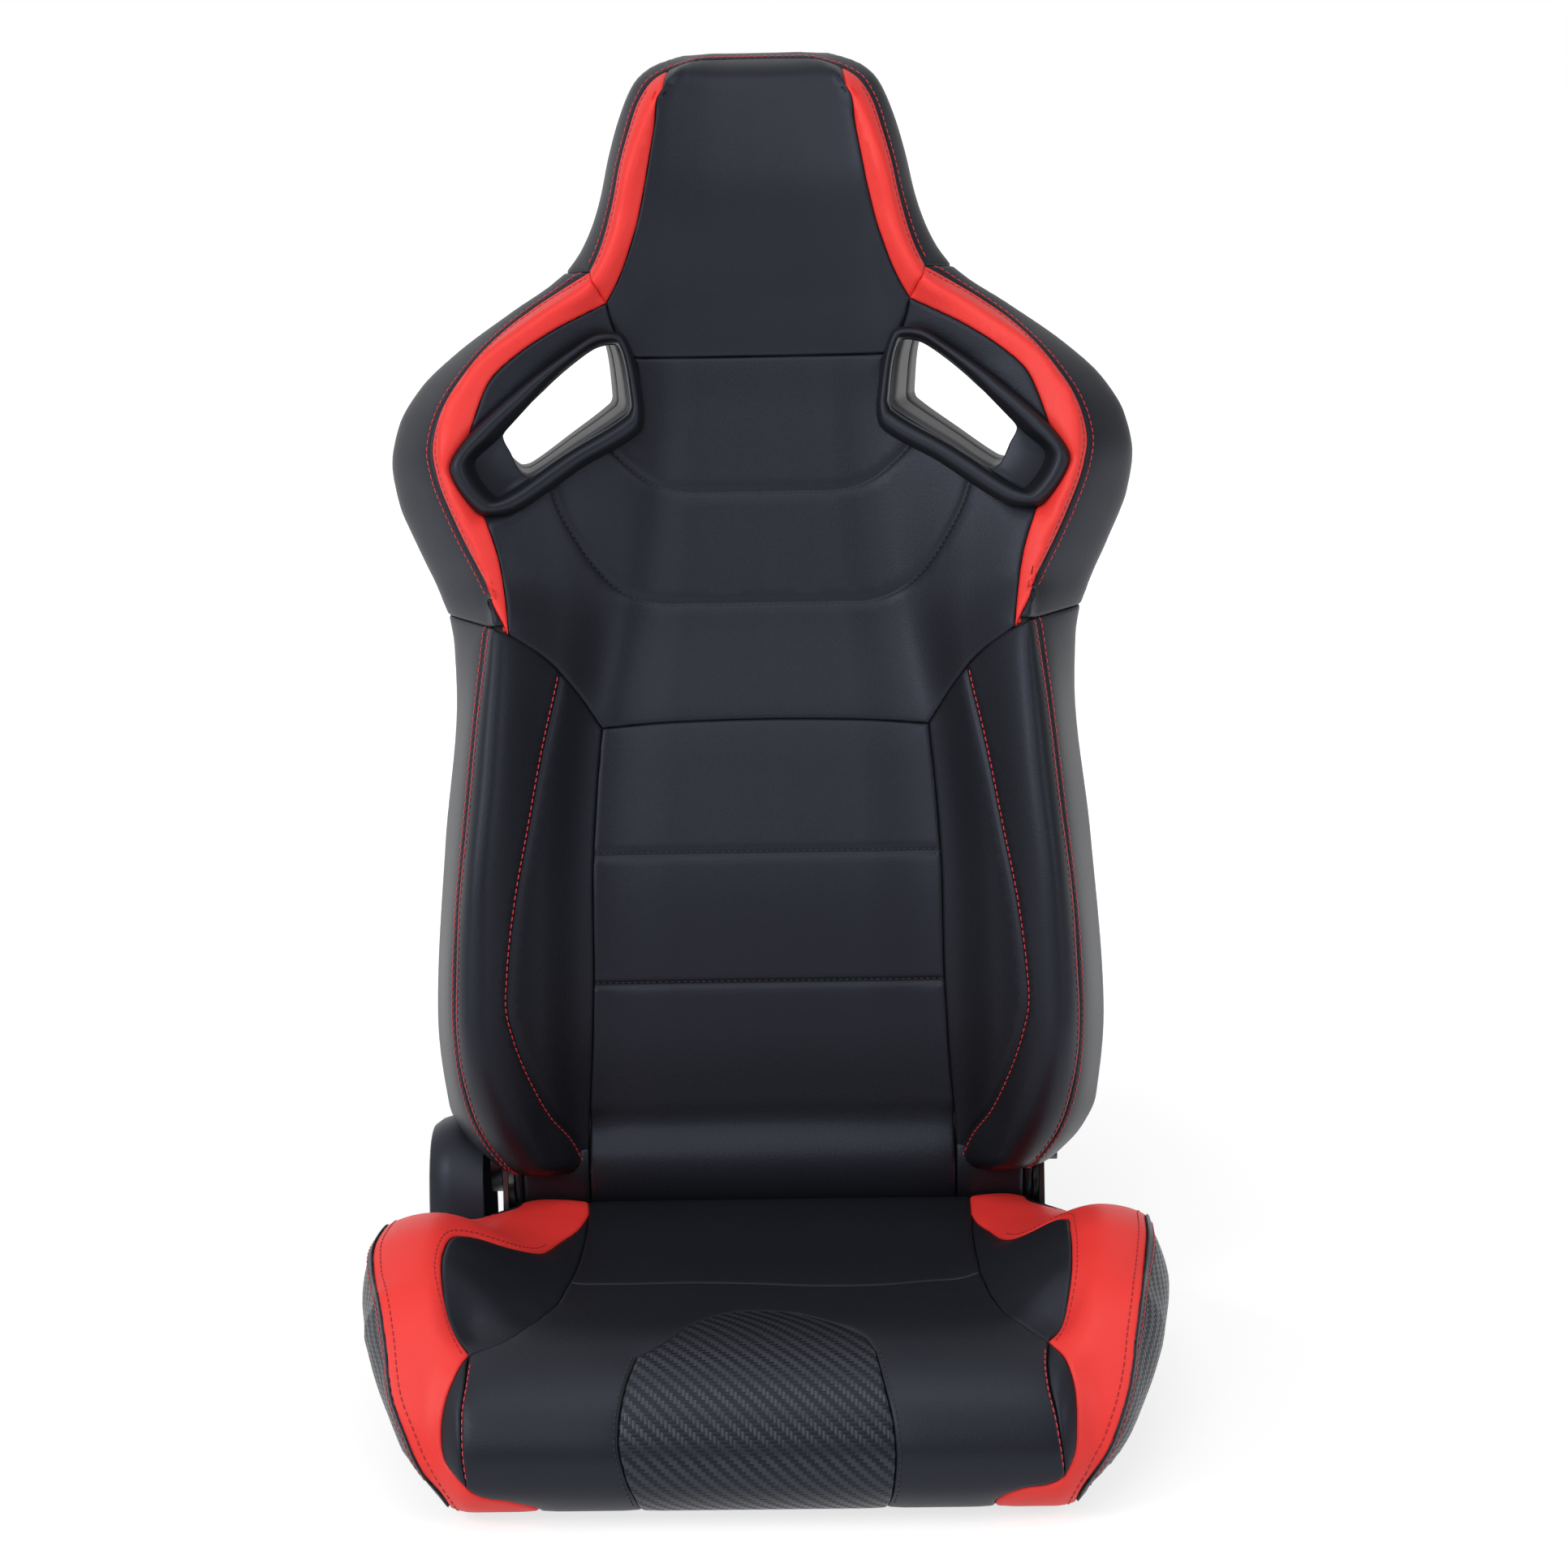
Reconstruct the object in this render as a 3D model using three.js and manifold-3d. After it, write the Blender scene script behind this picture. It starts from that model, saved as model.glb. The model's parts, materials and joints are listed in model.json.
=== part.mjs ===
// Reclining sport seat with harness openings, in millimetres.
// +Z is up and the sitter faces -Y. The origin lies on the floor, below the middle of the seat's box.
// The backrest is modelled upright in its own frame: x across, n towards the sitter, u up from the
// hinge axis.
import * as THREE from "three";
import { mergeVertices } from "three/addons/utils/BufferGeometryUtils.js";
import Module from "manifold-3d";

const wasm = await Module();
wasm.setup();

// ---------- driving dimensions ----------

const seatGap = 0.3; // between faces that touch
const hingeY = 99; // hinge axis of the backrest
const hingeZ = 118;
const recline = THREE.MathUtils.degToRad(14); // of the backrest at rest

const backBottom = -15; // the backrest's lower edge, along u
const backTop = 831;
const backBottomRound = 16;
const backTopRound = 26;
const padPocket = 42; // room behind the foam for frame and springs
const wrapDepth = 10; // the rear corner stands this far inside the widest line
const wrapWall = 14; // foam beside the frame
const rollHalf = 188; // half length of the roll along the backrest's lower edge
const rearBoard = 3; // thickness of the rear panel
const panelBottom = 20;
const panelTop = 790;
const pocketTop = 755; // above it the foam closes behind the frame
const rearCrown = 7;

const frameTubeR = 12.5;
const frameTubeX = 182;
const neckTubeX = 62;
const neckLean = 4; // how far the tube leans in towards its top
const crossTubeR = 10;
const wingWireR = 3;
const tubeStandOff = 4; // from the rear panel
const bendBulge = 2; // how far the tube's bend stands out of the line between its corners, and the gap
const springWireR = 1.9;
const springAmplitude = 16;
const springTurns = 5;

const armPlate = 4; // thickness of the recliner's arms
const basePlate = 4;
const plateRunning = 0.6; // running gap between arm and base plate
const sectorTip = 46; // radius over the ratchet teeth
const toothDepth = 2.6;
const toothPitch = THREE.MathUtils.degToRad(5);
const toothPlay = 0.45;
const toothClearance = 0.6; // between the tips of one part and the roots of the other
const pawlTeeth = 4;
const pawlMiddleTooth = -18; // of the sector, in pitches from the horizontal
const plateHeadR = 37; // the base plate
const plateFront = -53;
const plateRear = 60;
const plateLift = 3;
const boltHead = 5.5; // how far a bolt's head stands out of the plate
const hingePinR = 8;
const hingePinTailR = 6.5;
const pinTail = 11; // how far the pin's tail stands out of the plate
const pinPlay = 0.25;
const reliefR = 66; // the foam is cut back around the recliner to this radius
const pawlPinR = 4;
const pawlY = -34; // pawl pin, from the hinge axis
const pawlZ = -52;
const leverY = -22; // lever shaft, from the hinge axis
const leverZ = -68;
const leverShaftR = 5;
const leverReach = 100;
const leverThickness = 9;
const leverPlay = 5.5; // between cover and lever
const coverDepth = 42;
const coverWall = 2.6;
const springStrip = 1.6;
const springWidth = 8;
const springStandOff = 2.5; // of the spiral spring, from the base plate
const spiralTurns = 3.25;
const spiralOuterR = 27;
const pegR = 4;
const pegRadius = 47;

const railWidth = 39;
const railHeight = 32;
const railWall = 2.5;
const railFront = -236;
const railRear = 176;
const mountSpacingY = 280;
const mountMiddleY = -40;
const mountHoleR = 4.3;
const nutR = 7.5;
const nutHeight = 7;
const crossTubeFrontY = -205;
const crossTubeRearY = 140;
const crossTubeZ = 17;

const cushionUnderside = railHeight + seatGap; // the cushion rests on the rails
const cushionRear = 126;
const cushionArmGap = 3.8; // between the cushion's rear end and the recliner's arms
const lowerRollR = 48.6; // the backrest ends below in a roll about the hinge
const rollPlay = 2;
const bolsterFoot = 1;
const crestFall = 0.007; // how the bolster falls away outside its crest, per mm
const mostFall = 40;
const sideSeamInset = 15;

const bezelRim = 13; // height of the harness bezel over the cover
const bezelWall = 2.4;
const bezelSeat = 0.6;
const tunnelFrontN = 64; // depth of the lips that the parting line is measured from
const tunnelRearN = -34;
const tunnelPlay = 0.6;
const rearFlange = 15;
const rearRim = 8;

// ---------- small mathematics ----------

// A smooth curve through [position, value] pairs that never overshoots them.
function through(knots) {
  const slopes = knots.slice(1).map((k, i) => (k[1] - knots[i][1]) / (k[0] - knots[i][0]));
  const tangents = knots.map((_, i) => {
    const before = slopes[i - 1];
    const after = slopes[i];
    if (before === undefined || after === undefined || before * after <= 0) {
      return 0;
    }
    return (2 * before * after) / (before + after);
  });
  tangents[0] = slopes[0];
  tangents[knots.length - 1] = slopes[slopes.length - 1];
  return (position) => {
    const last = knots.length - 2;
    const found = knots.findIndex((k) => k[0] > position) - 1;
    const i = found < -1 ? last : Math.min(Math.max(found, 0), last);
    const [x0, y0] = knots[i];
    const [x1, y1] = knots[i + 1];
    const width = x1 - x0;
    const t = THREE.MathUtils.clamp((position - x0) / width, 0, 1);
    const t2 = t * t;
    const t3 = t2 * t;
    return (
      y0 * (2 * t3 - 3 * t2 + 1) +
      tangents[i] * width * (t3 - 2 * t2 + t) +
      y1 * (3 * t2 - 2 * t3) +
      tangents[i + 1] * width * (t3 - t2)
    );
  };
}

const mirrored = (points) => points.map(([x, u]) => [-x, u]);

function signedArea(points) {
  let sum = 0;
  points.forEach(([x, y], i) => {
    const [x2, y2] = points[(i + 1) % points.length];
    sum += x * y2 - x2 * y;
  });
  return sum / 2;
}

// The closed outline moved inwards by a distance, or outwards if it is negative.
function inset(points, distance) {
  const turn = Math.sign(signedArea(points));
  const count = points.length;
  return points.map(([x, y], i) => {
    const [xa, ya] = points[(i + count - 1) % count];
    const [xb, yb] = points[(i + 1) % count];
    const first = new THREE.Vector2(x - xa, y - ya).normalize();
    const second = new THREE.Vector2(xb - x, yb - y).normalize();
    const normal = new THREE.Vector2(-first.y - second.y, first.x + second.x).normalize();
    const lean = Math.max(0.4, normal.x * -first.y + normal.y * first.x);
    const step = (turn * distance) / lean;
    return [x + normal.x * step, y + normal.y * step];
  });
}

function toShape(points) {
  return new THREE.Shape(points.map(([x, y]) => new THREE.Vector2(x, y)));
}

function circlePoints(radius, count, cx = 0, cy = 0) {
  return Array.from({ length: count }, (_, i) => {
    const angle = (2 * Math.PI * i) / count;
    return [cx + radius * Math.cos(angle), cy + radius * Math.sin(angle)];
  });
}

// ---------- solids ----------

function solid(geometry) {
  const bare = geometry.index ? geometry.toNonIndexed() : geometry.clone();
  Object.keys(bare.attributes).forEach((name) => name !== "position" && bare.deleteAttribute(name));
  const merged = mergeVertices(bare, 1e-4);
  const at = merged.attributes.position;
  const index = merged.index.array;
  const [a, b, c] = [new THREE.Vector3(), new THREE.Vector3(), new THREE.Vector3()];
  let volume = 0;
  const triangles = [];
  for (let i = 0; i < index.length; i += 3) {
    const [p, q, r] = [index[i], index[i + 1], index[i + 2]];
    if (p === q || q === r || r === p) {
      continue;
    }
    a.fromBufferAttribute(at, p);
    b.fromBufferAttribute(at, q);
    c.fromBufferAttribute(at, r);
    volume += a.dot(b.cross(c));
    triangles.push(p, q, r);
  }
  if (volume < 0) {
    for (let i = 0; i < triangles.length; i += 3) {
      [triangles[i + 1], triangles[i + 2]] = [triangles[i + 2], triangles[i + 1]];
    }
  }
  const mesh = new wasm.Mesh({
    numProp: 3,
    vertProperties: Float32Array.from(at.array),
    triVerts: Uint32Array.from(triangles),
  });
  return new wasm.Manifold(mesh);
}

function toGeometry(body) {
  const mesh = body.getMesh();
  const geometry = new THREE.BufferGeometry();
  geometry.setAttribute("position", new THREE.BufferAttribute(mesh.vertProperties, 3));
  geometry.setIndex(new THREE.BufferAttribute(mesh.triVerts, 1));
  geometry.computeVertexNormals();
  return geometry;
}

const joined = (bodies) => bodies.reduce((sum, body) => sum.add(body));

// Closed rings of equal length, one after another. The two end rings are filled, unless the rings close up.
function loft(rings, closesUp = false) {
  const count = rings[0].length;
  const positions = rings.flat().flatMap((p) => [p.x, p.y, p.z]);
  const triangles = [];
  const spans = closesUp ? rings.length : rings.length - 1;
  for (let i = 0; i < spans; i += 1) {
    const here = i * count;
    const next = ((i + 1) % rings.length) * count;
    for (let j = 0; j < count; j += 1) {
      const k = (j + 1) % count;
      triangles.push(here + j, next + j, here + k, here + k, next + j, next + k);
    }
  }
  if (!closesUp) {
    fillRing(rings[0], 0, true, triangles);
    fillRing(rings[rings.length - 1], (rings.length - 1) * count, false, triangles);
  }
  const geometry = new THREE.BufferGeometry();
  geometry.setAttribute("position", new THREE.Float32BufferAttribute(positions, 3));
  geometry.setIndex(triangles);
  return geometry;
}

// Fills a flat ring, seen along the axis in which it is thinnest.
function fillRing(ring, start, first, triangles) {
  const box = new THREE.Box3().setFromPoints(ring);
  const size = box.getSize(new THREE.Vector3());
  const thin = ["x", "y", "z"].sort((a, b) => size[a] - size[b])[0];
  const [across, up] = { x: ["y", "z"], y: ["z", "x"], z: ["x", "y"] }[thin];
  const flat = ring.map((p) => new THREE.Vector2(p[across], p[up]));
  const reversed = THREE.ShapeUtils.isClockWise(flat);
  THREE.ShapeUtils.triangulateShape(reversed ? flat.slice().reverse() : flat, []).forEach((face) => {
    const [a, b, c] = reversed ? face.map((i) => flat.length - 1 - i).reverse() : face;
    const order = first ? [a, b, c] : [a, c, b];
    triangles.push(...order.map((i) => start + i));
  });
}

// A flat outline in y and z, from x0 to x1. Holes are outlines too.
function plateX(outline, x0, x1, holes = []) {
  const shape = toShape(outline);
  holes.forEach((hole) => shape.holes.push(toShape(hole)));
  const geometry = new THREE.ExtrudeGeometry(shape, { depth: Math.abs(x1 - x0), bevelEnabled: false });
  const turned = new THREE.Matrix4().set(0, 0, 1, Math.min(x0, x1), 1, 0, 0, 0, 0, 1, 0, 0, 0, 0, 0, 1);
  return geometry.applyMatrix4(turned);
}

// A flat outline in x and y, from z0 to z1.
function plateZ(outline, z0, z1, holes = []) {
  const shape = toShape(outline);
  holes.forEach((hole) => shape.holes.push(toShape(hole)));
  const geometry = new THREE.ExtrudeGeometry(shape, { depth: z1 - z0, bevelEnabled: false });
  return geometry.translate(0, 0, z0);
}

function rodX(radius, x0, x1, y, z, sides = 24) {
  return plateX(circlePoints(radius, sides, y, z), x0, x1);
}

// A round bar along a curve.
function bar(points, radius, sides = 10, steps = 24) {
  const path = new THREE.CatmullRomCurve3(points, false, "centripetal");
  const section = toShape(circlePoints(radius, sides));
  return new THREE.ExtrudeGeometry(section, { steps, extrudePath: path });
}

// ---------- materials ----------

const surface = (color, roughness, metalness = 0) =>
  new THREE.MeshStandardMaterial({ color, roughness, metalness });
const blackLeather = surface("#24262b", 0.5);
const redLeather = surface("#ee4540", 0.45);
const carbonVinyl = surface("#1b1c1f", 0.35);
const blackPlastic = surface("#1c1d1f", 0.45);
const blackSteel = surface("#191a1c", 0.4, 0.6);
const zincSteel = surface("#a9a8a0", 0.35, 0.9);
const springSteel = surface("#4a4c50", 0.4, 0.9);

// ---------- groups ----------

const seat = new THREE.Group();
const backrest = new THREE.Group();
backrest.position.set(0, hingeY, hingeZ);
backrest.rotation.x = -recline;
seat.add(backrest);
const recliner = new THREE.Group();
recliner.position.set(0, hingeY, hingeZ);
seat.add(recliner);

function place(name, body, material, group = seat) {
  const geometry = body.getMesh ? toGeometry(body) : toGeometry(solid(body));
  const mesh = new THREE.Mesh(geometry, material);
  mesh.name = name;
  group.add(mesh);
}

const sides = [
  { name: "left", sign: -1 },
  { name: "right", sign: 1 },
];

function mirrorX(body, sign) {
  return sign < 0 ? body.mirror([1, 0, 0]) : body;
}

// ---------- backrest form ----------

// Half widths and heights of the upholstery's guiding lines, against u.
const backEdge = through([
  [-15, 197], [3, 216], [21, 232], [45, 243], [113, 249.5], [242, 241.5], [352, 231.6], [389, 232.7],
  [426, 241.6], [463, 258], [499, 272.6], [527, 277], [554, 272], [582, 256], [609, 228], [640, 185],
  [660, 155], [685, 133], [719, 119.5], [756, 111], [785, 102.5], [808, 92], [820, 80], [831, 55],
]);
const backOuterSeam = through([
  [-15, 184], [6, 202], [21, 212], [66, 226], [130, 230], [219, 223], [340, 211], [402, 204],
  [424, 203], [460, 218], [514, 240.5], [532, 243], [551, 240], [569, 233], [605, 205], [640, 159],
  [658, 132], [676, 119], [712, 107], [748, 99], [766, 94], [793, 84], [807, 74], [831, 44],
]);
const backCrest = through([
  [-15, 165], [40, 190], [110, 206], [200, 204], [300, 195], [400, 190], [440, 200], [510, 222],
  [550, 226], [590, 208], [630, 160], [655, 122], [690, 104], [730, 95], [790, 74], [831, 38],
]);
const backValley = through([
  [-15, 137], [82, 132], [134, 129.6], [233, 128], [325, 120.6], [420, 104], [520, 92], [600, 88],
  [700, 74], [800, 58], [831, 30],
]);
const centreFront = through([
  [-15, 38], [30, 42], [110, 56], [200, 62], [300, 54], [420, 40], [560, 41], [640, 50],
  [740, 70], [800, 66], [831, 55],
]);
const crestFront = through([
  [-15, 84], [40, 116], [110, 134], [200, 136], [300, 128], [400, 112], [440, 104], [510, 104],
  [560, 98], [600, 90], [640, 80], [700, 80], [740, 86], [800, 74], [831, 58],
]);
const backRear = through([
  [-15, -46], [60, -50], [300, -48], [560, -44], [640, -34], [740, -20], [831, -18],
]);

const backStations = [
  -15, -9, 1, 22, 60, 120, 200, 290, 350, 400, 430, 460, 492, 522, 550, 585, 620, 650,
  680, 715, 755, 790, 812, 825, 831,
];

// How full the backrest's depth is near its rounded ends, from 0 to 1.
function endFullness(u) {
  const below = Math.max(0, backBottom + backBottomRound - u) / backBottomRound;
  const above = Math.max(0, u - (backTop - backTopRound)) / backTopRound;
  const past = Math.min(1, Math.max(below, above));
  return 0.3 + 0.7 * Math.sqrt(1 - past * past);
}

// Half of the section at height u, from the middle of the front round to the rear corner: [x, n] pairs.
function backHalfSection(u) {
  const edge = backEdge(u);
  const seam = backOuterSeam(u);
  const crest = backCrest(u);
  const valley = backValley(u);
  const rear = backRear(u);
  const middle = centreFront(u);
  const top = crestFront(u);
  const sideN = rear + 0.5 * (top - rear);
  const nodes = [
    [0, middle],
    [valley * 0.55, middle + 1],
    [valley, middle + 5],
    [(valley + crest) / 2, (middle + top) / 2 + 2],
    [crest, top],
    [seam, top - 0.32 * (seam - crest) - 8],
    [edge - 3, sideN + 16],
    [edge, sideN - 10],
    [edge - 3, rear + 18],
    [edge - wrapDepth, rear],
  ];
  const pivot = rear + 34;
  const full = endFullness(u);
  return nodes.map(([x, n]) => [x, pivot + (n - pivot) * full]);
}

function backHalfRing(u) {
  const curve = new THREE.SplineCurve(backHalfSection(u).map(([x, n]) => new THREE.Vector2(x, n)));
  const front = curve.getPoints(11);
  const rear = backRear(u);
  const pocket = rear + Math.max(2, padPocket * (1 - THREE.MathUtils.smoothstep(u, pocketTop, panelTop)));
  const full = endFullness(u);
  const pivot = rear + 34;
  const inner = backEdge(u) - wrapDepth - wrapWall;
  const depth = (n) => pivot + (n - pivot) * full;
  return [
    ...front,
    new THREE.Vector2(inner, depth(rear)),
    new THREE.Vector2(inner - 3, depth(pocket)),
    new THREE.Vector2(0, depth(pocket)),
  ];
}

function backFoam() {
  const rings = backStations.map((u) => {
    const half = backHalfRing(u);
    const right = half.map((p) => new THREE.Vector3(p.x, -p.y, u));
    const left = half.slice(1, -1).reverse().map((p) => new THREE.Vector3(-p.x, -p.y, u));
    return [...right, ...left];
  });
  const roll = solid(rodX(lowerRollR, -rollHalf, rollHalf, 0, 0, 30));
  const [wide, top] = [2 * lowerRollR, backBottom + 6];
  const below = solid(plateX([[-wide, -wide], [wide, -wide], [wide, top], [-wide, top]], -300, 300));
  return solid(loft(rings)).add(roll.intersect(below));
}

// ---------- backrest seams, as [x, u] points on the right half ----------

const outside = 320;
const centreSideSeam = [[137, -60], [136, 5], [132, 82], [129.6, 134], [128, 233], [124, 290],
  [120.6, 325.6]];
const bolsterTopSeam = [[138, 353], [155, 374], [183, 395], [210, 404], [236, 417], [outside, 440]];
const bandInnerSeam = [[184, 396], [187, 424], [194, 460], [206, 505], [212, 545], [207, 568],
  [197, 587], [180, 605], [157, 623], [116, 641]];
const bandOuterSeam = [[190, 400], [209, 442], [227, 479], [240, 514], [243, 532], [240, 551], [233, 569],
  [220, 587], [185, 622], [159, 640], [132, 658], [125, 665]];
const headSideSeam = [[110, 641], [104, 656], [94, 683], [85, 717], [77, 758], [72.6, 788], [69, 812]];
const headBandSeam = [[125, 665], [119, 676], [107, 712], [99, 748], [94, 766], [84, 793], [74, 807]];
const headTopSeam = [[58, 819], [30, 823], [0, 824]];
const neckOutside = [[160, 674], [outside, 690]];
const headBottomSeam = [[107, 623], [93, 603], [0, 601]];

const whole = (half) => [...half, ...mirrored(half).reverse()];

const backRegions = {
  backrest_centre_pad: { outline: whole([...centreSideSeam, [60, 330]]), material: blackLeather },
  upper_back_pad: {
    outline: whole([[60, 330], [120.6, 325.6], ...bolsterTopSeam.slice(0, 3), ...bandInnerSeam, [110, 641],
      ...headBottomSeam.slice(0, 2)]),
    material: blackLeather,
  },
  headrest_pad: {
    outline: whole([...headBottomSeam.slice(0, 2).reverse(), ...headSideSeam, ...headTopSeam.slice(0, 2)]),
    material: blackLeather,
  },
  headrest_border: {
    outline: whole([...headTopSeam.slice(0, 2).reverse(), [69, 812], [74, 807],
      ...headBandSeam.slice(0, -1).reverse(), ...neckOutside, [outside, 900]]),
    material: blackLeather,
  },
};
const sideRegions = {
  backrest_bolster: {
    outline: [...centreSideSeam, ...bolsterTopSeam, [outside, -60]],
    material: blackLeather,
  },
  shoulder_band: {
    outline: [...bandInnerSeam, [110, 641], [125, 665], ...bandOuterSeam.slice(0, -1).reverse()],
    material: redLeather,
  },
  shoulder_wing: {
    outline: [...bandOuterSeam, ...neckOutside, ...bolsterTopSeam.slice(3).reverse()],
    material: blackLeather,
  },
  headrest_band: {
    outline: [...headSideSeam, ...headBandSeam.slice().reverse()],
    material: redLeather,
  },
};

// The space over a region of the backrest's front view, as a solid through its whole depth.
function regionPrism(outline) {
  const shape = toShape(inset(outline, seatGap / 2));
  const geometry = new THREE.ExtrudeGeometry(shape, { depth: 400, bevelEnabled: false });
  geometry.rotateX(Math.PI / 2);
  return solid(geometry.translate(0, 150, 0));
}

// ---------- harness openings ----------

// The opening's edge at the bezel's front lip and at its rear lip, point by point.
const openingFront = [[210, 522], [198, 541], [159, 584], [140, 601], [120, 613], [104, 612], [96, 566],
  [98, 560], [142, 531], [185, 502], [195, 498]];
const openingRear = [[205, 549], [198, 558], [166, 588], [148, 603], [128, 617], [121, 618], [116, 581],
  [118, 575], [149, 552], [179, 531], [188, 529]];
const bezelOutline = [[225, 520], [209, 546], [170, 581], [140, 605], [119, 618], [99, 616], [87, 566],
  [90, 546], [130, 521], [181, 487], [205, 488]];

// The bezel's seating plane: n against x.
const bezelPlane = (x) => 60 + 0.24 * (Math.abs(x) - 95);
const rearPlane = (u) => backRear(u) - seatGap - rearBoard;

function at(points, depth) {
  return points.map(([x, u]) => new THREE.Vector3(x, -depth(x, u), u));
}

const between = (a, b, share) => a.map(([x, u], i) => [
  x + (b[i][0] - x) * share,
  u + (b[i][1] - u) * share,
]);

const frontSeat = (x) => bezelPlane(x) + bezelSeat;
const rearSeat = (x, u) => rearPlane(u) - bezelSeat;
const parting = 0.55; // share of the tunnel's depth that the front half covers
const partingN = tunnelFrontN + (tunnelRearN - tunnelFrontN) * parting;
const openingMiddle = between(openingFront, openingRear, parting);

// Room through foam and rear panel for both halves of the bezel.
function harnessCut() {
  const margin = -(bezelWall + tunnelPlay);
  const [front, middle, rear] = [openingFront, openingMiddle, openingRear].map((o) => inset(o, margin));
  const forwards = [at(middle, () => partingN - 1), at(middle, () => partingN), at(front, frontSeat),
    at(front, () => 160)];
  const backwards = [at(middle, () => partingN + 1), at(middle, () => partingN), at(rear, rearSeat),
    at(rear, () => -90)];
  return solid(loft(forwards)).add(solid(loft(backwards)));
}

// The cover is pressed flat under the front bezel's flange.
function bezelRecess() {
  const edge = inset(bezelOutline, -seatGap);
  return solid(loft([at(edge, (x) => bezelPlane(x)), at(edge, () => 160)]));
}

function frontBezel() {
  const rimN = (x) => bezelPlane(x) + bezelRim;
  return solid(loft([
    at(bezelOutline, frontSeat),
    at(bezelOutline, (x) => frontSeat(x) + 0.5 * bezelRim),
    at(between(bezelOutline, openingFront, 0.22), rimN),
    at(between(bezelOutline, openingFront, 0.6), rimN),
    at(openingFront, (x) => frontSeat(x) + 0.35 * bezelRim),
    at(openingMiddle, () => partingN),
    at(inset(openingMiddle, -bezelWall), () => partingN),
    at(inset(openingFront, -bezelWall), frontSeat),
  ], true));
}

function rearBezel() {
  const outline = inset(openingRear, -rearFlange);
  const rimN = (x, u) => rearSeat(x, u) - rearRim;
  return solid(loft([
    at(outline, rearSeat),
    at(outline, (x, u) => rearSeat(x, u) - 0.5 * rearRim),
    at(between(outline, openingRear, 0.3), rimN),
    at(between(outline, openingRear, 0.7), rimN),
    at(openingRear, (x, u) => rearSeat(x, u) - 0.4 * rearRim),
    at(openingMiddle, () => partingN - seatGap),
    at(inset(openingMiddle, -bezelWall), () => partingN - seatGap),
    at(inset(openingRear, -bezelWall), rearSeat),
  ], true));
}

// ---------- backrest build ----------

const armInner = frameTubeX + frameTubeR + seatGap;
const armOuter = armInner + armPlate;
const plateInner = armOuter + plateRunning;
const plateOuter = plateInner + basePlate;
const coverInner = plateOuter + springWidth + 5.5;
const cushionRearHalf = armInner - cushionArmGap;

function reclinerRelief() {
  const from = armInner - 1.5;
  return joined(sides.map(({ sign }) => solid(rodX(reliefR, sign * from, sign * 400, 0, 0, 40))));
}

function buildUpholstery() {
  const foam = backFoam();
  const opening = harnessCut().add(bezelRecess());
  const cuts = joined(sides.map(({ sign }) => mirrorX(opening, sign)));
  const shaped = foam.subtract(cuts).subtract(reclinerRelief());
  Object.entries(backRegions).forEach(([name, region]) => {
    place(name, shaped.intersect(regionPrism(region.outline)), region.material, backrest);
  });
  Object.entries(sideRegions).forEach(([name, region]) => {
    sides.forEach((side) => {
      const prism = mirrorX(regionPrism(region.outline), side.sign);
      place(`${name}_${side.name}`, shaped.intersect(prism), region.material, backrest);
    });
  });
}

// A moulded rear panel that closes the backrest behind the frame.
function buildRearPanel() {
  const columns = 6;
  const crownAt = (u) => rearCrown * (1 - THREE.MathUtils.smoothstep(u, 400, 470));
  const rings = backStations.filter((u) => u >= panelBottom && u <= panelTop).map((u) => {
    const half = backEdge(u) - wrapDepth - 1;
    const inner = [];
    const outer = [];
    for (let j = 0; j <= columns; j += 1) {
      const side = (2 * j) / columns - 1;
      const n = backRear(u) - seatGap - crownAt(u) * (1 - side * side);
      inner.push(new THREE.Vector3(side * half, -n, u));
      outer.unshift(new THREE.Vector3(side * half, -(n - rearBoard), u));
    }
    return [...inner, ...outer];
  });
  const holes = joined(sides.map(({ sign }) => mirrorX(harnessCut(), sign)));
  const panel = solid(loft(rings)).subtract(holes).subtract(reclinerRelief());
  place("rear_panel", panel, blackLeather, backrest);
}

// Where the side tube slants inwards below the harness opening: [x, u].
const shoulderBend = [[frameTubeX - 17, 440], [frameTubeX - 70, 488]];

// The side tube runs up the bolster, turns in below the harness opening and up into the headrest.
function frameTubeLine(sign) {
  const depth = (u) => -(backRear(u) + frameTubeR + tubeStandOff);
  return [
    [frameTubeX, 12], [frameTubeX, 130], [frameTubeX, 260], [frameTubeX, 388], ...shoulderBend,
    [neckTubeX + 6, 535], [neckTubeX, 590], [neckTubeX, 680], [neckTubeX - neckLean, pocketTop - 8],
  ].map(([x, u]) => new THREE.Vector3(sign * x, depth(u), u));
}

// A flat sinuous spring between two points: round-ended loops to either side, joined by straight legs.
function sinuousSpring(from, to, across) {
  const normal = to.clone().sub(from).normalize().cross(across);
  const lead = 8 / from.distanceTo(to);
  const on = (share, offset) => from.clone().lerp(to, share).addScaledVector(across, offset);
  const points = [on(0, 0), on(lead / 2, 0)];
  for (let turn = 0; turn < springTurns; turn += 1) {
    [[0.18, 1], [0.32, 1], [0.68, -1], [0.82, -1]].forEach(([phase, side]) => {
      const share = lead + (1 - 2 * lead) * ((turn + phase) / springTurns);
      points.push(on(share, side * springAmplitude));
    });
  }
  points.push(on(1 - lead / 2, 0), on(1, 0));
  return loft(points.map((point, i) => {
    const before = points[Math.max(0, i - 1)];
    const after = points[Math.min(points.length - 1, i + 1)];
    const side = after.clone().sub(before).normalize().cross(normal);
    return circlePoints(springWireR, 5).map(([a, b]) =>
      point.clone().addScaledVector(side, a).addScaledVector(normal, b));
  }));
}

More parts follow.
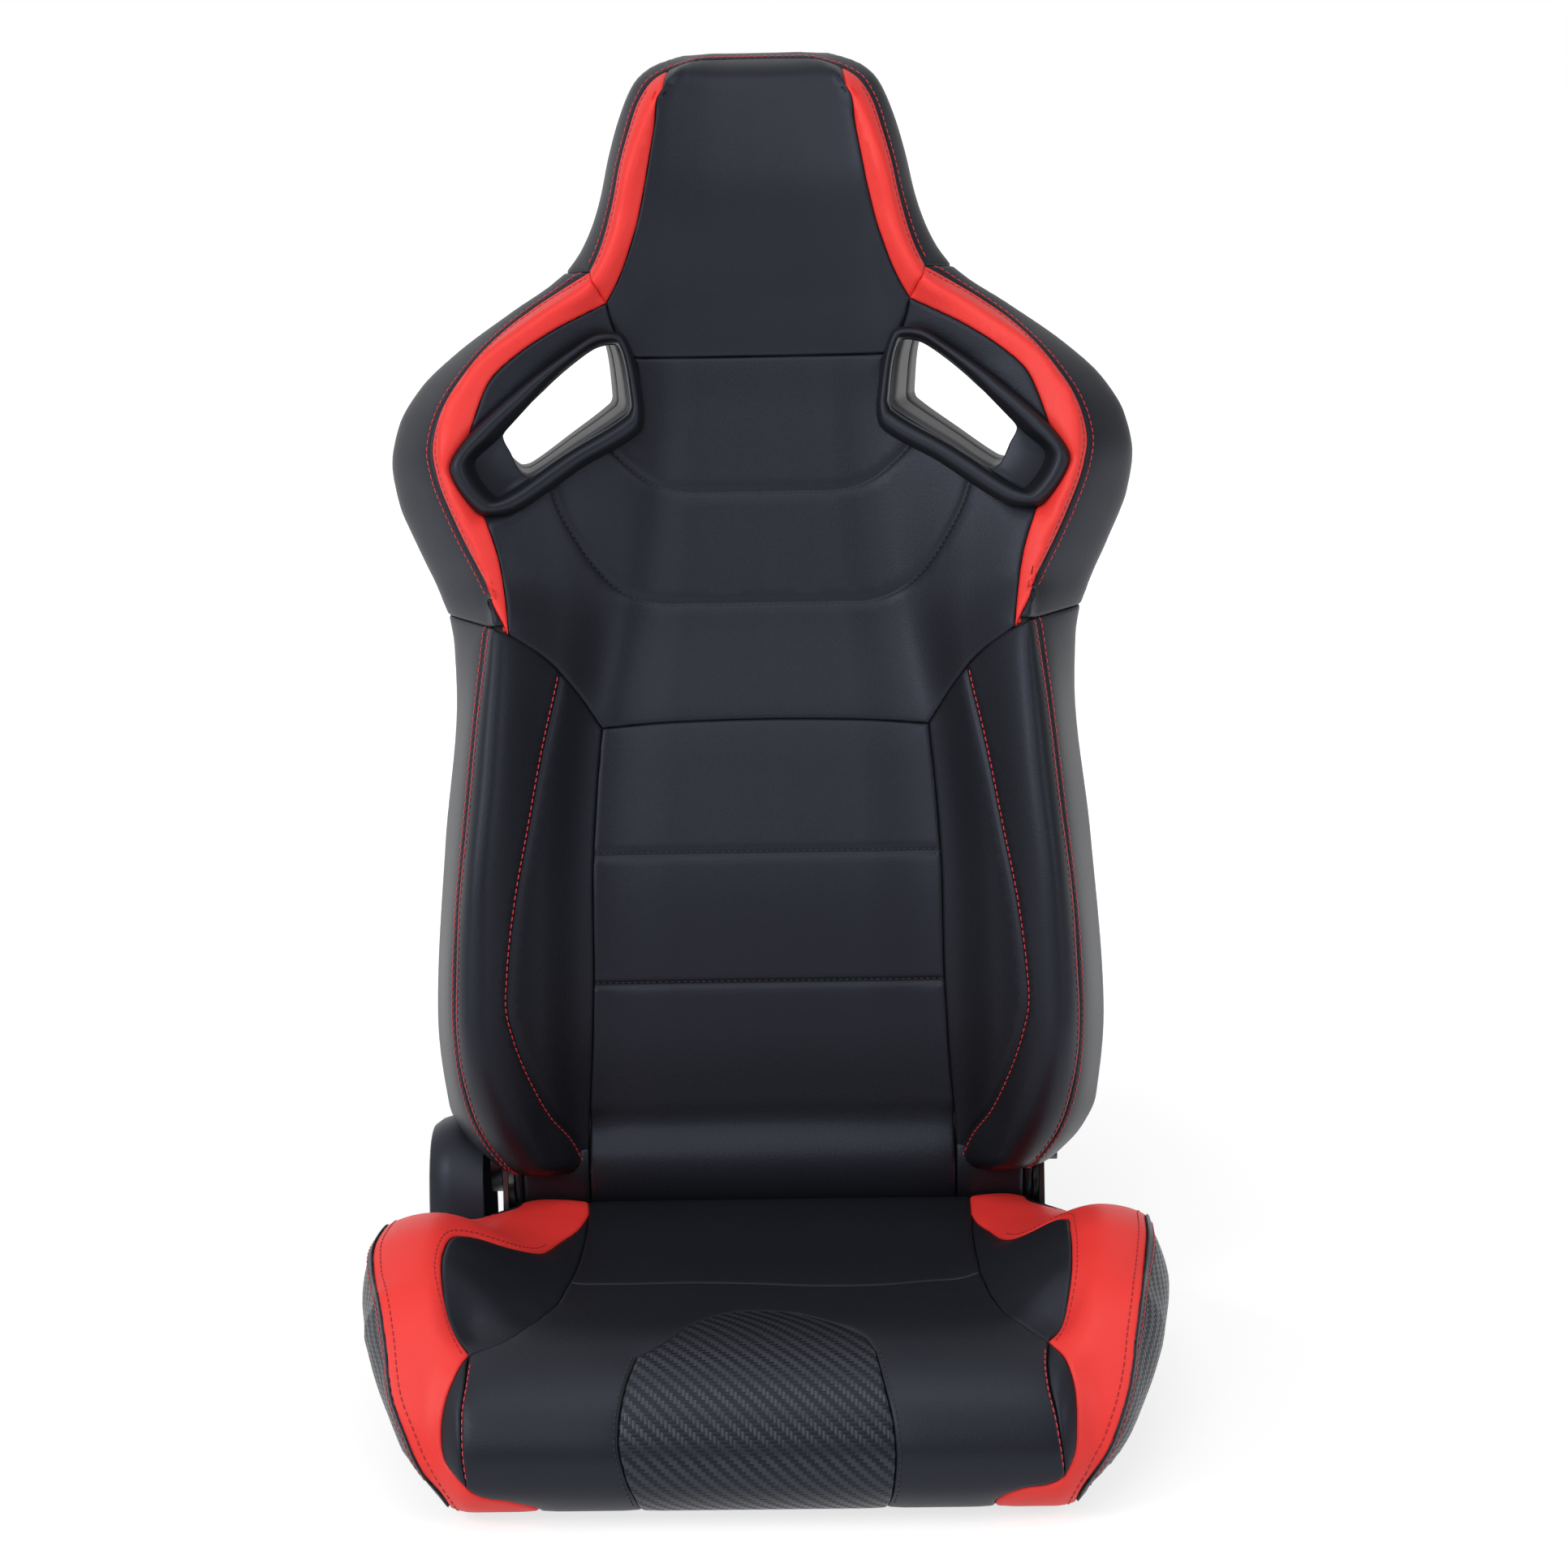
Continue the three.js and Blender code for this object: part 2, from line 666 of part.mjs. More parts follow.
function buildBackFrame() {
  const depth = (u) => -(backRear(u) + frameTubeR + tubeStandOff);
  sides.forEach(({ name, sign }) => {
    place(`back_tube_${name}`, bar(frameTubeLine(sign), frameTubeR, 8, 22), blackSteel, backrest);
  });
  const reach = frameTubeX - frameTubeR;
  const neckReach = neckTubeX - neckLean - frameTubeR;
  const crossTubes = { lower: [40, reach], middle: [365, reach], head: [725, neckReach] };
  Object.entries(crossTubes).forEach(([name, [u, half]]) => {
    place(`back_cross_tube_${name}`, rodX(crossTubeR, -half, half, depth(u), u, 12), blackSteel, backrest);
  });
  [120, 210, 300].forEach((u, i) => {
    const [left, right] = [-reach, reach].map((x) => new THREE.Vector3(x, depth(u), u));
    const spring = sinuousSpring(left, right, new THREE.Vector3(0, 0, 1));
    place(`back_spring_${i + 1}`, spring, springSteel, backrest);
  });
  sides.forEach(({ name, sign }) => {
    const points = wingWireLine().map(([x, u]) => new THREE.Vector3(sign * x, depth(u), u));
    place(`wing_wire_${name}`, bar(points, wingWireR, 5, 20), blackSteel, backrest);
  });
}

// The wing wire leaves the bend of the side tube at a right angle and comes back to the neck.
function wingWireLine() {
  const [[x0, u0], [x1, u1]] = shoulderBend;
  const [middleX, middleU] = [(x0 + x1) / 2, (u0 + u1) / 2];
  const length = Math.hypot(x1 - x0, u1 - u0);
  const away = (distance) => [
    middleX + (distance * (u1 - u0)) / length,
    middleU - (distance * (x1 - x0)) / length,
  ];
  const neckEnd = neckTubeX + frameTubeR + seatGap;
  return [away(frameTubeR + bendBulge), away(frameTubeR + 12), [214, 486], [240, 510], [245, 535],
    [232, 562], [200, 592], [150, 628], [neckEnd + 18, 656], [neckEnd, 656]];
}

function buildBezels() {
  sides.forEach(({ name, sign }) => {
    place(`harness_bezel_front_${name}`, mirrorX(frontBezel(), sign), blackPlastic, backrest);
    place(`harness_bezel_rear_${name}`, mirrorX(rearBezel(), sign), blackPlastic, backrest);
  });
}

// ---------- cushion form ----------

// Heights along the seat, against y from front to rear.
const cushionMiddle = through([
  [-215, 117], [-160, 112], [-60, 104], [60, 100], [150, 95],
]);
const bolsterCrest = through([
  [-215, 151], [-180, 160], [-150, 163], [-126, 159], [-100, 149], [-66, 134], [-30, 118], [0, 108],
  [30, 104], [60, 102], [150, 96],
]);
const seatSeam = through([
  [-340, 204], [-264, 200], [-203, 161], [-167, 146], [-121, 138], [0, 136.5], [160, 136],
]);
const crestLine = through([
  [-340, 226], [-260, 233], [-60, 236], [0, 205], [45, 172], [160, 168],
]);

// The nose, from the crest over the front to the underside: [y, z] in the middle and on the bolster.
const noseMiddle = [[-240, 117.5], [-264, 113], [-290, 103], [-312, 84], [-325, 58], [-322, 32],
  [-305, 12], [-285, 6]];
const noseBolster = [[-238, 141], [-260, 124], [-281, 100], [-298, 74], [-306, 46], [-301, 26],
  [-293, 12], [-270, bolsterFoot]];
const topStations = [cushionRear, 90, 50, 15, -15, -45, -80, -120, -160, -190, -215];

// Half width of the cushion at height z, and how it narrows towards front and rear.
const widthAtHeight = through([
  [-5, 230], [0, 233], [30, 251], [60, 265], [90, 277], [120, 284], [140, 282.5], [160, 273], [190, 250],
]);
const frontTaper = through([
  [-340, 0.78], [-325, 0.83], [-300, 0.9], [-270, 0.955], [-230, 0.988], [-170, 1], [160, 1],
]);
const rearShare = through([
  [-60, 1], [-30, 0.93], [0, 0.62], [20, 0.3], [40, 0], [160, 0],
]);

function cushionTopAt(x, y) {
  const [inner, outer] = [seatSeam(y), crestLine(y)];
  const share = THREE.MathUtils.smoothstep(Math.abs(x), inner - 12, outer);
  const past = Math.max(0, Math.abs(x) - outer);
  const rise = (bolsterCrest(y) - cushionMiddle(y)) * share;
  return cushionMiddle(y) + rise - Math.min(mostFall, crestFall * past * past);
}

function cushionRing(x) {
  const share = THREE.MathUtils.smoothstep(Math.abs(x), 196, 228);
  const top = topStations.map((y) => new THREE.Vector3(x, y, cushionTopAt(x, y)));
  const nose = noseMiddle.map(([y, z], i) => new THREE.Vector3(
    x,
    y + (noseBolster[i][0] - y) * share,
    z + (noseBolster[i][1] - z) * share,
  ));
  const foot = nose[nose.length - 1].z;
  return [...top, ...nose, new THREE.Vector3(x, cushionRear, foot)];
}

// The cushion's sides: level outlines, one above another, moved in by a margin.
function cushionSides(margin) {
  const heights = [-20, 0, 30, 60, 90, 120, 140, 160, 190, 240];
  const stations = [-340, -325, -300, -270, -230, -170, -110, -60, -30, -10, 10, 25, 40, 60, 200];
  return solid(loft(heights.map((z) => {
    const right = stations.map((y) => {
      const wide = widthAtHeight(z) * frontTaper(y) - margin;
      const half = cushionRearHalf + (wide - cushionRearHalf) * rearShare(y);
      return new THREE.Vector3(half, y, z);
    });
    return [...right, ...right.slice().reverse().map((p) => new THREE.Vector3(-p.x, p.y, z))];
  })));
}

function cushionForm() {
  const stations = [0, 60, 125, 140, 155, 170, 186, 200, 212, 224, 236, 250, 266, 284, 300];
  const all = [...stations.slice(1).reverse().map((x) => -x), ...stations];
  const block = solid(loft(all.map(cushionRing)));
  const half = plateInner + 1.8;
  const pocket = solid(plateZ([[-half, railFront - 10], [half, railFront - 10], [half, 300], [-half, 300]],
    -50, cushionUnderside));
  const sweep = solid(rodX(lowerRollR + rollPlay, -400, 400, hingeY, hingeZ, 36));
  return block.subtract(pocket).subtract(sweep);
}

function cushionPrism(outline) {
  return solid(plateZ(inset(outline, seatGap / 2), -60, 300));
}

function buildCushion() {
  const form = cushionForm();
  const crossSeam = [[-150, -114], [-90, -126], [0, -131], [90, -126], [150, -114]];
  const seamStations = [-345, -264, -235, -203, -185, -167, -145];
  const sideLine = (sign, list) => list.map((y) => [sign * seatSeam(y), y]);
  const lower = sideLine(1, seamStations);
  const noseOutline = [...lower, [150 - 12, -121], ...crossSeam.slice(1, 4).reverse(), [-138, -121],
    ...sideLine(-1, seamStations.slice().reverse())];
  const rearSeam = [-60, 0, 60, 200];
  const padOutline = [[138, -121], ...sideLine(1, rearSeam), ...sideLine(-1, rearSeam.slice().reverse()),
    [-138, -121], ...crossSeam.slice(1, 4)];
  const within = form.intersect(cushionSides(0));
  place("cushion_nose", within.intersect(cushionPrism(noseOutline)), blackLeather);
  place("cushion_pad", within.intersect(cushionPrism(padOutline)), blackLeather);
  const bolsterOutline = [...sideLine(1, seamStations), [138, -121], ...sideLine(1, rearSeam), [400, 200],
    [400, -345]];
  const outerSkin = cushionSides(sideSeamInset);
  sides.forEach(({ name, sign }) => {
    const prism = mirrorX(cushionPrism(bolsterOutline), sign);
    const bolster = within.intersect(prism);
    place(`cushion_bolster_${name}`, bolster.intersect(cushionSides(sideSeamInset + seatGap)), redLeather);
    const gusset = bolster.subtract(outerSkin);
    const frontOnly = cushionPrism([[-400, -400], [400, -400], [400, 20], [-400, 20]]);
    place(`cushion_side_${name}`, gusset.intersect(frontOnly), carbonVinyl);
  });
}

// ---------- base frame ----------

const railOuter = plateInner - seatGap;
const railInner = railOuter - railWidth;
const railMiddle = (railOuter + railInner) / 2;
const mountPlaces = [mountMiddleY - mountSpacingY / 2, mountMiddleY + mountSpacingY / 2];

// A pressed channel, open upwards, with its web on the floor and two nuts welded over its holes.
function railSolid() {
  const [insideLeft, insideRight] = [railInner + railWall, railOuter - railWall];
  const section = [[railInner, 0], [railOuter, 0], [railOuter, railHeight], [insideRight, railHeight],
    [insideRight, railWall], [insideLeft, railWall], [insideLeft, railHeight], [railInner, railHeight]];
  const geometry = new THREE.ExtrudeGeometry(toShape(section), {
    depth: railRear - railFront,
    bevelEnabled: false,
  });
  geometry.rotateX(Math.PI / 2).translate(0, railRear, 0);
  const hole = (y) => solid(plateZ(circlePoints(mountHoleR, 12, railMiddle, y), -5, 5));
  const holes = joined(mountPlaces.map(hole));
  const nuts = mountPlaces.map((y) => {
    const hexagon = circlePoints(nutR, 6, railMiddle, y);
    const bore = circlePoints(mountHoleR - 0.3, 12, railMiddle, y);
    return solid(plateZ(hexagon, railWall - 0.5, railWall + nutHeight, [bore]));
  });
  return joined([solid(geometry).subtract(holes), ...nuts]);
}

function buildBaseFrame() {
  sides.forEach(({ name, sign }) => place(`side_rail_${name}`, mirrorX(railSolid(), sign), blackSteel));
  const half = railInner - seatGap;
  const tubes = { front: crossTubeFrontY, rear: crossTubeRearY };
  Object.entries(tubes).forEach(([name, y]) => {
    place(`cross_tube_${name}`, rodX(frameTubeR, -half, half, y, crossTubeZ, 16), blackSteel);
  });
  const springZ = crossTubeZ + 3;
  const tubeAtSpring = Math.sqrt(frameTubeR ** 2 - (springZ - crossTubeZ) ** 2) + 2 * seatGap;
  const springEnds = [crossTubeFrontY + tubeAtSpring, crossTubeRearY - tubeAtSpring];
  [-105, -35, 35, 105].forEach((x, i) => {
    const [front, rear] = springEnds.map((y) => new THREE.Vector3(x, y, springZ));
    place(`seat_spring_${i + 1}`, sinuousSpring(front, rear, new THREE.Vector3(1, 0, 0)), springSteel);
  });
}

// ---------- recliner: outlines are [y, z] from the hinge axis ----------

const polar = (radius, angle) => [radius * Math.cos(angle), radius * Math.sin(angle)];
const radians = THREE.MathUtils.degToRad;
const armTilt = Math.PI / 2 - recline; // direction of u

// One flank-to-flank outline of the ratchet between two angles, in whole tooth pitches.
function toothedArc(firstTooth, lastTooth, tip, root, play) {
  const points = [];
  for (let i = firstTooth; i <= lastTooth; i += 1) {
    const centre = i * toothPitch;
    const half = toothPitch / 4;
    const slack = play / sectorTip;
    points.push(polar(root, centre - half * 1.45 + slack));
    points.push(polar(tip, centre - half * 0.75 + slack));
    points.push(polar(tip, centre + half * 0.75 - slack));
    points.push(polar(root, centre + half * 1.45 - slack));
  }
  return points;
}

const sectorRoot = sectorTip - toothDepth;
const pegAngle = armTilt + radians(24);

const plainArc = (from, to) => Array.from({ length: Math.ceil((to - from) / 8) + 1 }, (_, i) =>
  polar(sectorRoot, radians(Math.min(to, from + 8 * i))));

function armOutline(toothed) {
  const lower = toothed
    ? [...plainArc(-175, -120), ...toothedArc(-23, -4, sectorTip, sectorRoot, 0), ...plainArc(-14, 4)]
    : plainArc(-175, 4);
  const along = (u, n) => {
    const [cos, sin] = [Math.cos(recline), Math.sin(recline)];
    return [u * sin - n * cos, u * cos + n * sin];
  };
  return [...lower, along(62, -36), along(150, -42), along(162, -34), along(162, -20), along(150, -12),
    along(62, -12), along(46, 26)];
}

function buildReclinerArms() {
  const hole = circlePoints(hingePinR + pinPlay, 24);
  sides.forEach(({ name, sign }) => {
    const arm = plateX(armOutline(sign < 0), sign * armInner, sign * armOuter, [hole]);
    place(`recliner_arm_${name}`, arm, blackSteel, recliner);
  });
  const [pegY, pegZ] = polar(pegRadius, pegAngle);
  const pegEnd = plateOuter + springStandOff + springWidth;
  place("spring_peg", rodX(pegR, -(armOuter + seatGap), -pegEnd, pegY, pegZ, 16), zincSteel, recliner);
}

const floorZ = -hingeZ;

// The base plate: a foot as long as its bolts need, tapering up to a round head about the hinge.
function plateOutline() {
  const head = Array.from({ length: 14 }, (_, i) => polar(plateHeadR, radians(-10 + 14 * i)));
  const foot = floorZ + plateLift;
  return [[plateFront, foot], [plateRear, foot], [plateRear, floorZ + railHeight], [plateRear - 12, -50],
    ...head, [plateFront + 7, -34], [plateFront, -60]];
}

// A slot standing upright, centred at y, between two heights.
function slotOutline(y, low, high, radius) {
  const turn = circlePoints(radius, 12);
  return [
    ...turn.slice(0, 7).map(([a, b]) => [y + a, high + b]),
    ...turn.slice(6).map(([a, b]) => [y + a, low + b]),
    [y + radius, low],
  ];
}

// A cross-shaped hole, by which the plate is held while it is stamped.
function crossOutline(y, z, reach, half) {
  return [[-reach, -half], [-half, -half], [-half, -reach], [half, -reach], [half, -half], [reach, -half],
    [reach, half], [half, half], [half, reach], [-half, reach], [-half, half], [-reach, half]]
    .map(([a, b]) => [y + a, z + b]);
}

function buildBasePlates() {
  const pinHole = circlePoints(hingePinR + seatGap, 24);
  const pawlHole = circlePoints(pawlPinR + seatGap, 16, pawlY, pawlZ);
  const shaftHole = circlePoints(leverShaftR + pinPlay, 20, leverY, leverZ);
  const slot = slotOutline(22, -52, -30, 4);
  const cross = crossOutline(-20, -30, 7, 2.2);
  place("recliner_base_plate_left",
    plateX(plateOutline(), -plateInner, -plateOuter, [pinHole, pawlHole, shaftHole, slot, cross]),
    zincSteel, recliner);
  place("pivot_plate_right", plateX(plateOutline(), plateInner, plateOuter, [pinHole, slot]),
    blackSteel, recliner);
  sides.forEach(({ name, sign }) => {
    const pin = solid(rodX(hingePinR, sign * (armInner - 1), sign * (plateOuter + 2), 0, 0, 24));
    const tail = rodX(hingePinTailR, sign * (plateOuter + 1), sign * (plateOuter + pinTail), 0, 0, 24);
    place(`hinge_pin_${name}`, pin.add(solid(tail)), zincSteel, recliner);
  });
  sides.forEach(({ name, sign }) => {
    Object.entries({ front: plateFront + 18, rear: plateRear - 18 }).forEach(([end, y]) => {
      const z = floorZ + railHeight / 2;
      const head = rodX(7, sign * (plateOuter + seatGap), sign * (plateOuter + boltHead), y, z, 6);
      place(`plate_bolt_${end}_${name}`, head, zincSteel, recliner);
    });
  });
}

// The pawl's grooves are the sector's teeth, widened by the play.
function pawlGrooves() {
  const [tip, root] = [sectorTip + toothClearance, sectorRoot + toothClearance];
  const half = toothPitch / 4;
  const slack = toothPlay / sectorTip;
  return Array.from({ length: pawlTeeth }, (_, i) => {
    const centre = (pawlMiddleTooth - pawlTeeth / 2 + i + 0.5) * toothPitch;
    return [
      polar(tip, centre - half * 1.25 + slack),
      polar(root, centre - half * 0.55 + slack),
      polar(root, centre + half * 0.55 - slack),
      polar(tip, centre + half * 1.25 - slack),
    ];
  }).flat();
}

function buildLockingPawl() {
  const from = (y, z) => [pawlY + y, pawlZ + z];
  const outline = [...pawlGrooves(), [8, -56], [-10, -58.5], from(10, -6.5), from(5, -12), from(4, -14),
    from(4, -30), from(-4, -30), from(-5, -10), from(-9, 0), from(-4, 8), from(6, 7), [-16, -50]];
  const hole = circlePoints(pawlPinR + pinPlay, 16, pawlY, pawlZ);
  place("locking_pawl", plateX(outline, -armInner, -armOuter, [hole]), zincSteel, recliner);
  const pin = rodX(pawlPinR, -(armInner - 2), -(plateOuter + 2), pawlY, pawlZ, 16);
  place("pawl_pin", pin, zincSteel, recliner);
}

const coverOuter = coverInner + coverDepth;

// The shaft carries a cam between the plates and the lever outside the cover.
function buildReleaseLever() {
  const from = (y, z) => [leverY + y, leverZ + z];
  const hub = circlePoints(7.2, 16, leverY, leverZ);
  const finger = [from(-7.6, -8), from(-7.6, -12.5), from(2, -12.5), from(4, -3), from(-5, -2)];
  const inner = coverOuter + leverPlay;
  const outer = inner + leverThickness;
  const shaftEnd = outer - 2;
  const shaft = solid(rodX(leverShaftR, -(armInner - 1), -shaftEnd, leverY, leverZ, 20));
  const cam = solid(plateX(hub, -armInner, -armOuter)).add(solid(plateX(finger, -armInner, -armOuter)));
  place("lever_shaft", shaft.add(cam), zincSteel, recliner);

  const outline = [from(13, 0), from(9, 10), from(-2, 13), from(-30, 11), from(10 - leverReach, 9),
    from(-leverReach, 3), from(-leverReach, -5), from(10 - leverReach, -11), from(-30, -10), from(-2, -13),
    from(9, -9)];
  const boss = solid(rodX(11, -(coverOuter + 0.8), -(inner + 1), leverY, leverZ, 24));
  const socket = solid(rodX(leverShaftR + seatGap, -coverOuter, -(shaftEnd + seatGap), leverY, leverZ, 20));
  const handle = solid(plateX(outline, -inner, -outer)).add(boss).subtract(socket);
  place("release_lever", handle, blackPlastic, recliner);
}

// A flat spiral from the hinge pin out to a hook that bears on the backrest's peg.
function buildReturnSpring() {
  const inner = hingePinTailR + seatGap;
  const spread = 2 * Math.PI * spiralTurns;
  const start = pegAngle - spread - radians(20);
  const samples = 48;
  const face = (offset) => Array.from({ length: samples + 1 }, (_, i) => {
    const share = i / samples;
    return polar(inner + (spiralOuterR - inner) * share + offset, start + spread * share);
  });
  const hookAngle = pegAngle - radians(11);
  const hook = [
    polar(pegRadius - 4, hookAngle - 0.02),
    polar(pegRadius + 2, hookAngle - 0.02),
    polar(pegRadius + 2, hookAngle - 0.055),
    polar(pegRadius - 4, hookAngle - 0.06),
  ];
  const outline = [...face(0), ...hook, ...face(springStrip).reverse()];
  const springInner = plateOuter + springStandOff;
  place("return_spring", plateX(outline, -springInner, -(springInner + springWidth)), springSteel, recliner);
}

function coverOutline() {
  const corners = [[-56, floorZ + 20], [40, floorZ + 20], [53, -74], [50, -20], [38, 18], [10, 32],
    [-22, 31], [-46, 10], [-60, -40]];
  const curve = new THREE.CatmullRomCurve3(corners.map(([y, z]) => new THREE.Vector3(y, z, 0)), true);
  return curve.getPoints(24).slice(0, -1).map((p) => [p.x, p.y]);
}

// A moulded cover, hollow behind, that closes in with a rounded edge towards its outer face.
function buildSideCover() {
  const outline = coverOutline();
  const skin = (shrink, depth) => inset(outline, shrink).map(([y, z]) =>
    new THREE.Vector3(-(coverInner + depth), y, z));
  const outer = solid(loft([
    skin(0, 0),
    skin(0, coverDepth - 18),
    skin(3, coverDepth - 8),
    skin(8, coverDepth - 1),
    skin(12, coverDepth),
  ]));
  const hollow = solid(loft([
    skin(coverWall, -5),
    skin(coverWall, coverDepth - 18),
    skin(3 + coverWall, coverDepth - 9),
    skin(9 + coverWall, coverDepth - 1 - coverWall),
  ]));
  const shaftHole = solid(rodX(leverShaftR + pinPlay, -coverInner, -(coverOuter + 5), leverY, leverZ, 20));
  place("side_cover", outer.subtract(hollow).subtract(shaftHole), blackPlastic, recliner);
}

buildUpholstery();
buildRearPanel();
buildBackFrame();
buildBezels();
buildCushion();
buildBaseFrame();
buildReclinerArms();
buildBasePlates();
buildLockingPawl();
buildReleaseLever();
buildReturnSpring();
buildSideCover();

// The origin goes under the middle of the seat's depth.
const reach = new THREE.Box3().setFromObject(seat, true);
seat.position.y = Math.round(-5 * (reach.min.y + reach.max.y)) / 10;

export default seat;
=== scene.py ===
"""The covers, stitching and finishes of a reclining sport seat, over its CAD frame."""

import json
import math

import bpy
import numpy as np
from mathutils import Matrix, Vector, geometry, kdtree


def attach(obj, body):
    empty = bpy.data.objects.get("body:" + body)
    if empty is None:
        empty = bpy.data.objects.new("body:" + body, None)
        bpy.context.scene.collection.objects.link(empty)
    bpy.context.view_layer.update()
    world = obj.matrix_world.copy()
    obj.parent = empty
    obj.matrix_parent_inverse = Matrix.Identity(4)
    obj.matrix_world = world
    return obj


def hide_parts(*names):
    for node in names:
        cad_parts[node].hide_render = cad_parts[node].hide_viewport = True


bl_info = {
    "name": "Reclining sport seat",
    "version": (1, 0, 0),
    "blender": (4, 5, 0),
    "location": "View3D > Sidebar > Seat",
    "description": "Builds the covers, stitching and finishes of a reclining sport seat",
    "category": "Object",
}

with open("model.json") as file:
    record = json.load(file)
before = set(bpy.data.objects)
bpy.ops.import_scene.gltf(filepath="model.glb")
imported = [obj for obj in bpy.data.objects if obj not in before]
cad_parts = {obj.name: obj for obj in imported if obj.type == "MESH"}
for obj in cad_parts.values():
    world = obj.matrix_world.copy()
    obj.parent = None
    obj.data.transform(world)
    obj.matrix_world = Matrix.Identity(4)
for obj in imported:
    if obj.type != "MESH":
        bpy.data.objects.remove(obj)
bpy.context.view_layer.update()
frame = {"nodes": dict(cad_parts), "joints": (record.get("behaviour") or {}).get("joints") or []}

# Lengths are in millimetres where nothing else is said. The backrest's own frame is x across, n towards the
# sitter and u up from the hinge axis; the cushion's is x across and w along its skin from rear to front.
MM = 0.001
hinge = next(joint for joint in frame["joints"] if joint["name"] == "backrest_recline")
HINGE_Y, HINGE_Z = [value / MM for value in hinge["pos_m"][1:]]
RECLINE = math.radians(14)
SIDES = {"right": 1, "left": -1}


# ---------- curves ----------

def hermite(t, first, start, last, end):
    """The cubic from first to last, with the given slopes where it starts and ends, at t from 0 to 1."""
    square, cube = t * t, t * t * t
    return (first * (2 * cube - 3 * square + 1) + start * (cube - 2 * square + t)
            + last * (3 * square - 2 * cube) + end * (cube - square))


def smooth_curve(knots):
    """A smooth curve through (position, value) pairs that never overshoots them."""
    xs, ys = np.array(knots, float).T
    slopes = np.diff(ys) / np.diff(xs)
    before, after = slopes[:-1], slopes[1:]
    turning = before * after <= 0
    total = np.where(turning, 1.0, before + after)
    middle = np.where(turning, 0.0, 2 * before * after / total)
    tangents = np.concatenate([slopes[:1], middle, slopes[-1:]])

    def value(position):
        p = np.asarray(position, float)
        i = np.clip(np.searchsorted(xs, p, side="right") - 1, 0, len(xs) - 2)
        width = xs[i + 1] - xs[i]
        t = np.clip((p - xs[i]) / width, 0, 1)
        return hermite(t, ys[i], tangents[i] * width, ys[i + 1], tangents[i + 1] * width)

    return value


def smoothstep(position, start, end):
    """0 before start, 1 after end and a smooth step between them."""
    t = np.clip((position - start) / (end - start), 0, 1)
    return t * t * (3 - 2 * t)


def through_nodes(nodes, t):
    """The point at t along the smooth curve of each row of nodes."""
    last = nodes.shape[1] - 1
    i = np.clip(np.floor(t).astype(int), 0, last - 1)
    f = (t - i)[:, None]
    rows = np.arange(len(t))
    a, b = nodes[rows, np.maximum(i - 1, 0)], nodes[rows, i]
    c, d = nodes[rows, i + 1], nodes[rows, np.minimum(i + 2, last)]
    return hermite(f, b, (c - a) / 2, c, (d - b) / 2)


def trace(points, step=2.5, closed=False):
    """Points about one step apart along a smooth line through the given points."""
    p = np.array(points, float)
    if closed:
        p = np.vstack([p[-2:], p, p[:3]])
    lengths = np.linalg.norm(np.diff(p, axis=0), axis=1)
    slopes = np.diff(p, axis=0) / lengths[:, None]
    before, after = lengths[:-1, None], lengths[1:, None]
    middle = (after * slopes[:-1] + before * slopes[1:]) / (before + after)
    tangents = np.vstack([slopes[:1], middle, slopes[-1:]])
    spans = range(2, len(lengths) - 2) if closed else range(len(lengths))
    pieces = []
    for i in spans:
        count = max(1, round(lengths[i] / step))
        t = (np.arange(count) / count)[:, None]
        pieces.append(hermite(t, p[i], tangents[i] * lengths[i], p[i + 1], tangents[i + 1] * lengths[i]))
    return np.vstack(pieces if closed else pieces + [p[-1:]])


def dense(points, step):
    """More points on the straight pieces of a line, at most a step apart."""
    gaps = np.linalg.norm(np.diff(points, axis=0), axis=1)
    position = np.concatenate([[0], np.cumsum(gaps)])
    wanted = np.linspace(0, position[-1], max(2, math.ceil(position[-1] / step)))
    return np.stack([np.interp(wanted, position, column) for column in points.T], 1)


def straight(*corners, step=2.5):
    """Points at most a step apart on the straight lines between the given ones."""
    return dense(np.array(corners, float), step)


def joined(*strokes):
    """One closed loop from strokes laid end to end, with a corner wherever two of them meet."""
    return np.vstack([stroke[:-1] for stroke in strokes])


def mirrored(points):
    """The same points on the other side of the seat, in the opposite order."""
    return (np.array(points, float) * [-1, 1])[::-1]


def over_middle(point, step=2.5):
    """A straight line from a point to the same one on the other side."""
    return straight(point, np.multiply(point, [-1, 1]), step=step)


def both_halves(right, step):
    """A closed loop from its right-hand edge, which runs upwards, with straight lines across at its ends."""
    return joined(over_middle(right[0], step)[::-1], right, over_middle(right[-1], step), mirrored(right))


def whole(points):
    """A line from one side over the middle to the other, from its right half, which ends in the middle."""
    points = list(points)
    return points + [(-x, u) for x, u in points[-2::-1]]


def grown(points, margin):
    """A closed outline moved outwards by margin."""
    p = np.array(points, float)
    edge = np.roll(p, -1, axis=0) - p
    normal = np.stack([edge[:, 1], -edge[:, 0]], 1) / np.linalg.norm(edge, axis=1)[:, None]
    area = np.sum(p[:, 0] * np.roll(p, -1, axis=0)[:, 1] - np.roll(p, -1, axis=0)[:, 0] * p[:, 1])
    corner = normal + np.roll(normal, 1, axis=0)
    corner /= np.maximum(np.sum(corner * normal, axis=1), 0.4)[:, None]
    return p + corner * margin * np.sign(area)


# ---------- the backrest's form ----------

BACK_BOTTOM, BACK_TOP = -15, 831
BOTTOM_ROUND, TOP_ROUND = 16, 26
WRAP = 10

